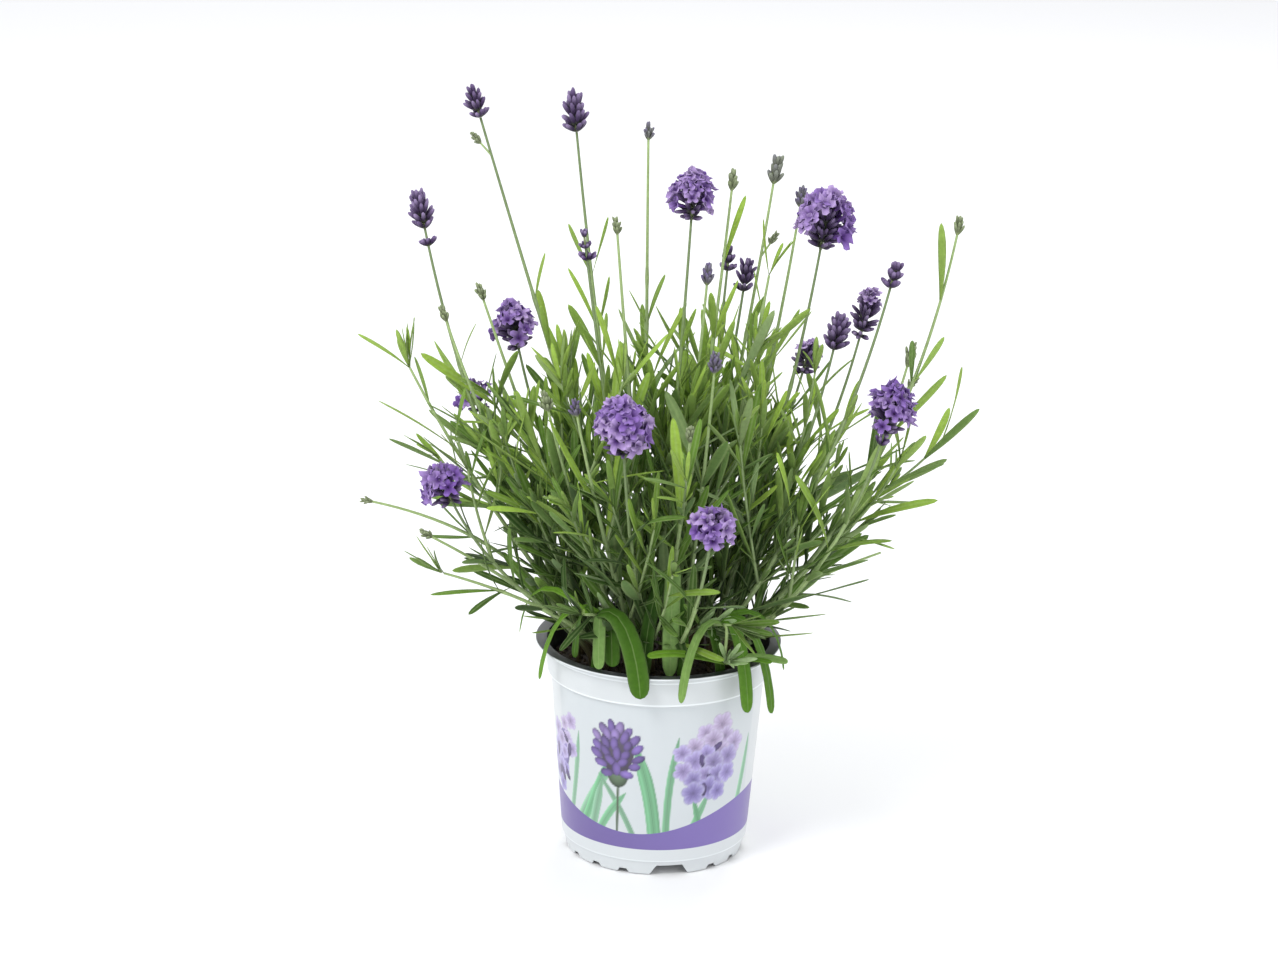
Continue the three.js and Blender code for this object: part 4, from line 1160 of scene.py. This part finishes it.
def build_peat(material):
    """The root ball: a rough dark top with crumbs, and plain sides inside the pot."""
    rng = np.random.default_rng([SEED, PEAT_SEED])
    sides, rings = 120, 34
    around = bearings(sides)
    top_radius = MOUTH_RADIUS - 2.2
    rows = []
    for k in range(rings + 1):
        radius = 0.4 + (top_radius - 0.4) * k / rings
        x, y, _ = circle(radius, around, 0).T
        bump = 1.0 * np.sin(x * 0.21 + 1.3) * np.cos(y * 0.19) + 0.7 * np.sin(x * 0.6 + y * 0.5)
        bump += rng.normal(0, 0.35, sides)
        z = SOIL_TOP + 0.6 * bump - 1.2 * smooth(0.9, 1.0, radius / top_radius)
        rows.append(circle(radius, around, z))
    for z in (STEP_Z + 0.3, STEP_Z - STEP_SLOPE, 40, FLOOR_HEIGHT + FLOOR_THICKNESS + 0.3):
        radius = (COLLAR_FOOT_RADIUS if z > STEP_Z else wall_radius(z)) - WALL - 0.6
        rows.append(circle(radius, around, z))
    skin = Skin()
    tone = np.array([0.030, 0.020, 0.013]) * rng.uniform(0.5, 1.6, (len(rows), sides, 1))
    skin.add_tubes(np.array([rows[::-1]]), tone)
    crumbs(skin, rng, CRUMBS, top_radius)
    return skin.make("loose_peat", material)


def crumbs(skin, rng, count, top_radius):
    """Lumps of twenty faces, strewn over the peat."""
    golden = (1 + math.sqrt(5)) / 2
    corners = np.array([(one, two, 0) for two in (golden, -golden) for one in (-1, 1)])
    shape = unit(np.concatenate([np.roll(corners, turn, axis=1) for turn in range(3)]))
    lumps = shape[None] * rng.uniform(0.65, 1.25, (count, 12, 1))
    stretch = rng.uniform(0.5, 1.0, (count, 1, 3)) * rng.uniform(0.5, 1.9, (count, 1, 1))
    angle = rng.uniform(0, 2 * math.pi, count)
    out = np.sqrt(rng.random(count)) * (top_radius - 2)
    place = circle(out, angle, SOIL_TOP + rng.uniform(-0.6, 1.2, count))
    tone = np.array([0.045, 0.030, 0.018]) * rng.uniform(0.4, 2.2, (count, 1, 1))
    skin.add(place[:, None] + lumps * stretch, [LUMP_FACES], tone)


# ---- Materials


class Nodes:
    """Shorthand for building a node tree."""

    def __init__(self, name):
        self.material = bpy.data.materials.new(name)
        self.material.use_nodes = True
        self.tree = self.material.node_tree
        self.tree.nodes.clear()

    def node(self, kind, inputs=None, **settings):
        """A node; each of its inputs is given a value, or another node's output to be linked to."""
        made = self.tree.nodes.new("ShaderNode" + kind)
        for key, value in settings.items():
            setattr(made, key, value)
        for key, value in (inputs or {}).items():
            if isinstance(value, bpy.types.NodeSocket):
                self.tree.links.new(value, made.inputs[key])
            else:
                made.inputs[key].default_value = value
        return made

    def finished(self, shader):
        self.node("OutputMaterial", {"Surface": shader})
        return self.material


def tinted(name, roughness, uneven, grain, spread, finer, details, relief, depth, inputs):
    """A surface in each piece's own tint: mottled, unevenly glossy and with fine relief."""
    make = Nodes(name)
    where = make.node("TexCoord").outputs["Object"]
    mottle, fine = (
        make.node("TexNoise", {"Vector": where, "Scale": scale, "Detail": detail}).outputs["Fac"]
        for scale, detail in zip((grain, grain * finer), details)
    )
    shade, gloss = (
        make.node("MapRange", {"Value": mottle, "To Min": mean - off, "To Max": mean + off}).outputs["Result"]
        for mean, off in ((1, spread), (roughness, uneven))
    )
    tint = make.node("Attribute", attribute_name="tint").outputs["Color"]
    colour = make.node("VectorMath", {0: tint, "Scale": shade}, operation="SCALE").outputs[0]
    bump = make.node("Bump", {"Strength": relief, "Distance": depth * MM, "Height": fine}).outputs["Normal"]
    surface = {"Base Color": colour, "Roughness": gloss, "Normal": bump}
    return make, colour, make.node("BsdfPrincipled", {**surface, **inputs}).outputs["BSDF"]


def grown_material(name, roughness, grain, bump, through, sheen):
    """Leaf, stem and petal: light comes through them, and a little felt catches it."""
    felt = {"Specular IOR Level": 0.14, "Sheen Weight": sheen, "Sheen Roughness": 0.5}
    make, colour, shader = tinted(name, roughness, 0.12, grain, 0.28, 6, (5, 3), 0.5, bump, felt)
    glow = make.node("BsdfTranslucent", {"Color": colour}).outputs["BSDF"]
    return make.finished(make.node("MixShader", {"Fac": through, 1: shader, 2: glow}).outputs["Shader"])


def solid_material(name, roughness, spread, grain, relief, depth, coat=0.0):
    """Plastic and peat."""
    coating = {"Coat Weight": coat, "Coat Roughness": 0.25}
    make, _, shader = tinted(name, roughness, 0.08, grain, spread, 5, (6, 4), relief, depth, coating)
    return make.finished(shader)


# ---- Studio

# In metres from here on
FLOOR_REACH = 20
FLOOR_DROP = 0.0004  # the floor lies this far under the pot's foot
CAMERA_DISTANCE = 2.0
CAMERA_ELEVATION = math.radians(17.37)
CAMERA_ROLL = math.radians(1.24)
CAMERA_TARGET = (-0.0121, 0, 0.203)
CAMERA_LENS = 107.8


def build_floor():
    mesh = bpy.data.meshes.new("studio_floor")
    ring = circle(FLOOR_REACH, bearings(96), -FLOOR_DROP)
    mesh.from_pydata(ring.tolist(), [], [list(range(len(ring)))])
    make = Nodes("floor_paper")
    paper = {"Base Color": (0.93, 0.93, 0.935, 1), "Roughness": 0.9}
    mesh.materials.append(make.finished(make.node("BsdfPrincipled", paper).outputs["BSDF"]))
    floor = add_object("studio_floor", mesh)


def aim(thing, target):
    way = np.array(target) - np.array(thing.location)
    flat = math.hypot(way[0], way[1])
    thing.rotation_euler = (math.atan2(flat, -way[2]), 0, math.atan2(-way[0], way[1]))


def area_light(name, place, size, power, target=(0, 0, 0.2)):
    data = bpy.data.lights.new(name, "AREA")
    data.shape = "DISK"
    data.size = size
    data.energy = power
    lamp = add_object(name, data)
    lamp.location = place
    aim(lamp, target)


def build_studio():
    world = bpy.data.worlds.new("studio")
    world.use_nodes = True
    sky = world.node_tree.nodes["Background"].inputs
    sky["Color"].default_value = (0.97, 0.98, 1, 1)
    sky["Strength"].default_value = 0.95
    bpy.context.scene.world = world
    area_light("key", (-1.1, -1.3, 1.9), 0.8, 22)
    area_light("fill", (1.5, -1.4, 0.9), 1.2, 4)
    area_light("back", (0.4, 1.6, 1.6), 1.0, 12)


def build_camera():
    data = bpy.data.cameras.new("camera")
    data.lens = CAMERA_LENS
    data.sensor_width = 36
    camera = add_object("camera", data)
    back = (0, -math.cos(CAMERA_ELEVATION), math.sin(CAMERA_ELEVATION))
    camera.location = [t + CAMERA_DISTANCE * b for t, b in zip(CAMERA_TARGET, back)]
    camera.rotation_mode = "XYZ"
    aim(camera, CAMERA_TARGET)
    camera.rotation_euler.rotate_axis("Z", CAMERA_ROLL)
    bpy.context.scene.camera = camera


# ---- The whole


def place(piece, node, slot):
    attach(piece, "root")
    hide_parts(node)


def build_lavender():
    green = grown_material("lavender_green", 0.56, 420, 0.06, 0.26, 0.03)
    bloom = grown_material("lavender_bloom", 0.60, 600, 0.08, 0.22, 0.15)
    plastic = solid_material("pot_plastic", 0.34, 0.015, 160, 0.12, 0.05, coat=0.12)
    peat = solid_material("peat", 0.85, 0.45, 500, 0.8, 0.5)
    flowering = plan_stems(FLOWER_STEMS, "flower_stem")
    budding = plan_stems(BUD_STEMS, "bud_stem")
    shoots = plan_stems(LEAFY_SHOOTS, "leafy_shoot")
    heads = [capsule for stem in flowering for capsule in head_places(stem)]
    place(build_pot(plastic), "pot", "pot_plastic")
    place(build_peat(peat), "potting_soil", "peat")
    for i, stem in enumerate(flowering):
        place(build_head(stem, bloom, i), stem.node.replace("stem", "head"), "lavender_bloom")
    groups = (
        (flowering, "flower_stem", 0),
        (budding, "bud_stem", BUD_STEM_SEEDS),
        (shoots, "leafy_shoot", LEAFY_SHOOT_SEEDS),
    )
    for group, slot, seed in groups:
        for i, stem in enumerate(group):
            place(dress_stem(stem, heads, green, seed + i + 1), stem.node, slot)


build_camera()
build_studio()
build_floor()
build_lavender()
bpy.context.scene.view_settings.view_transform = "Standard"
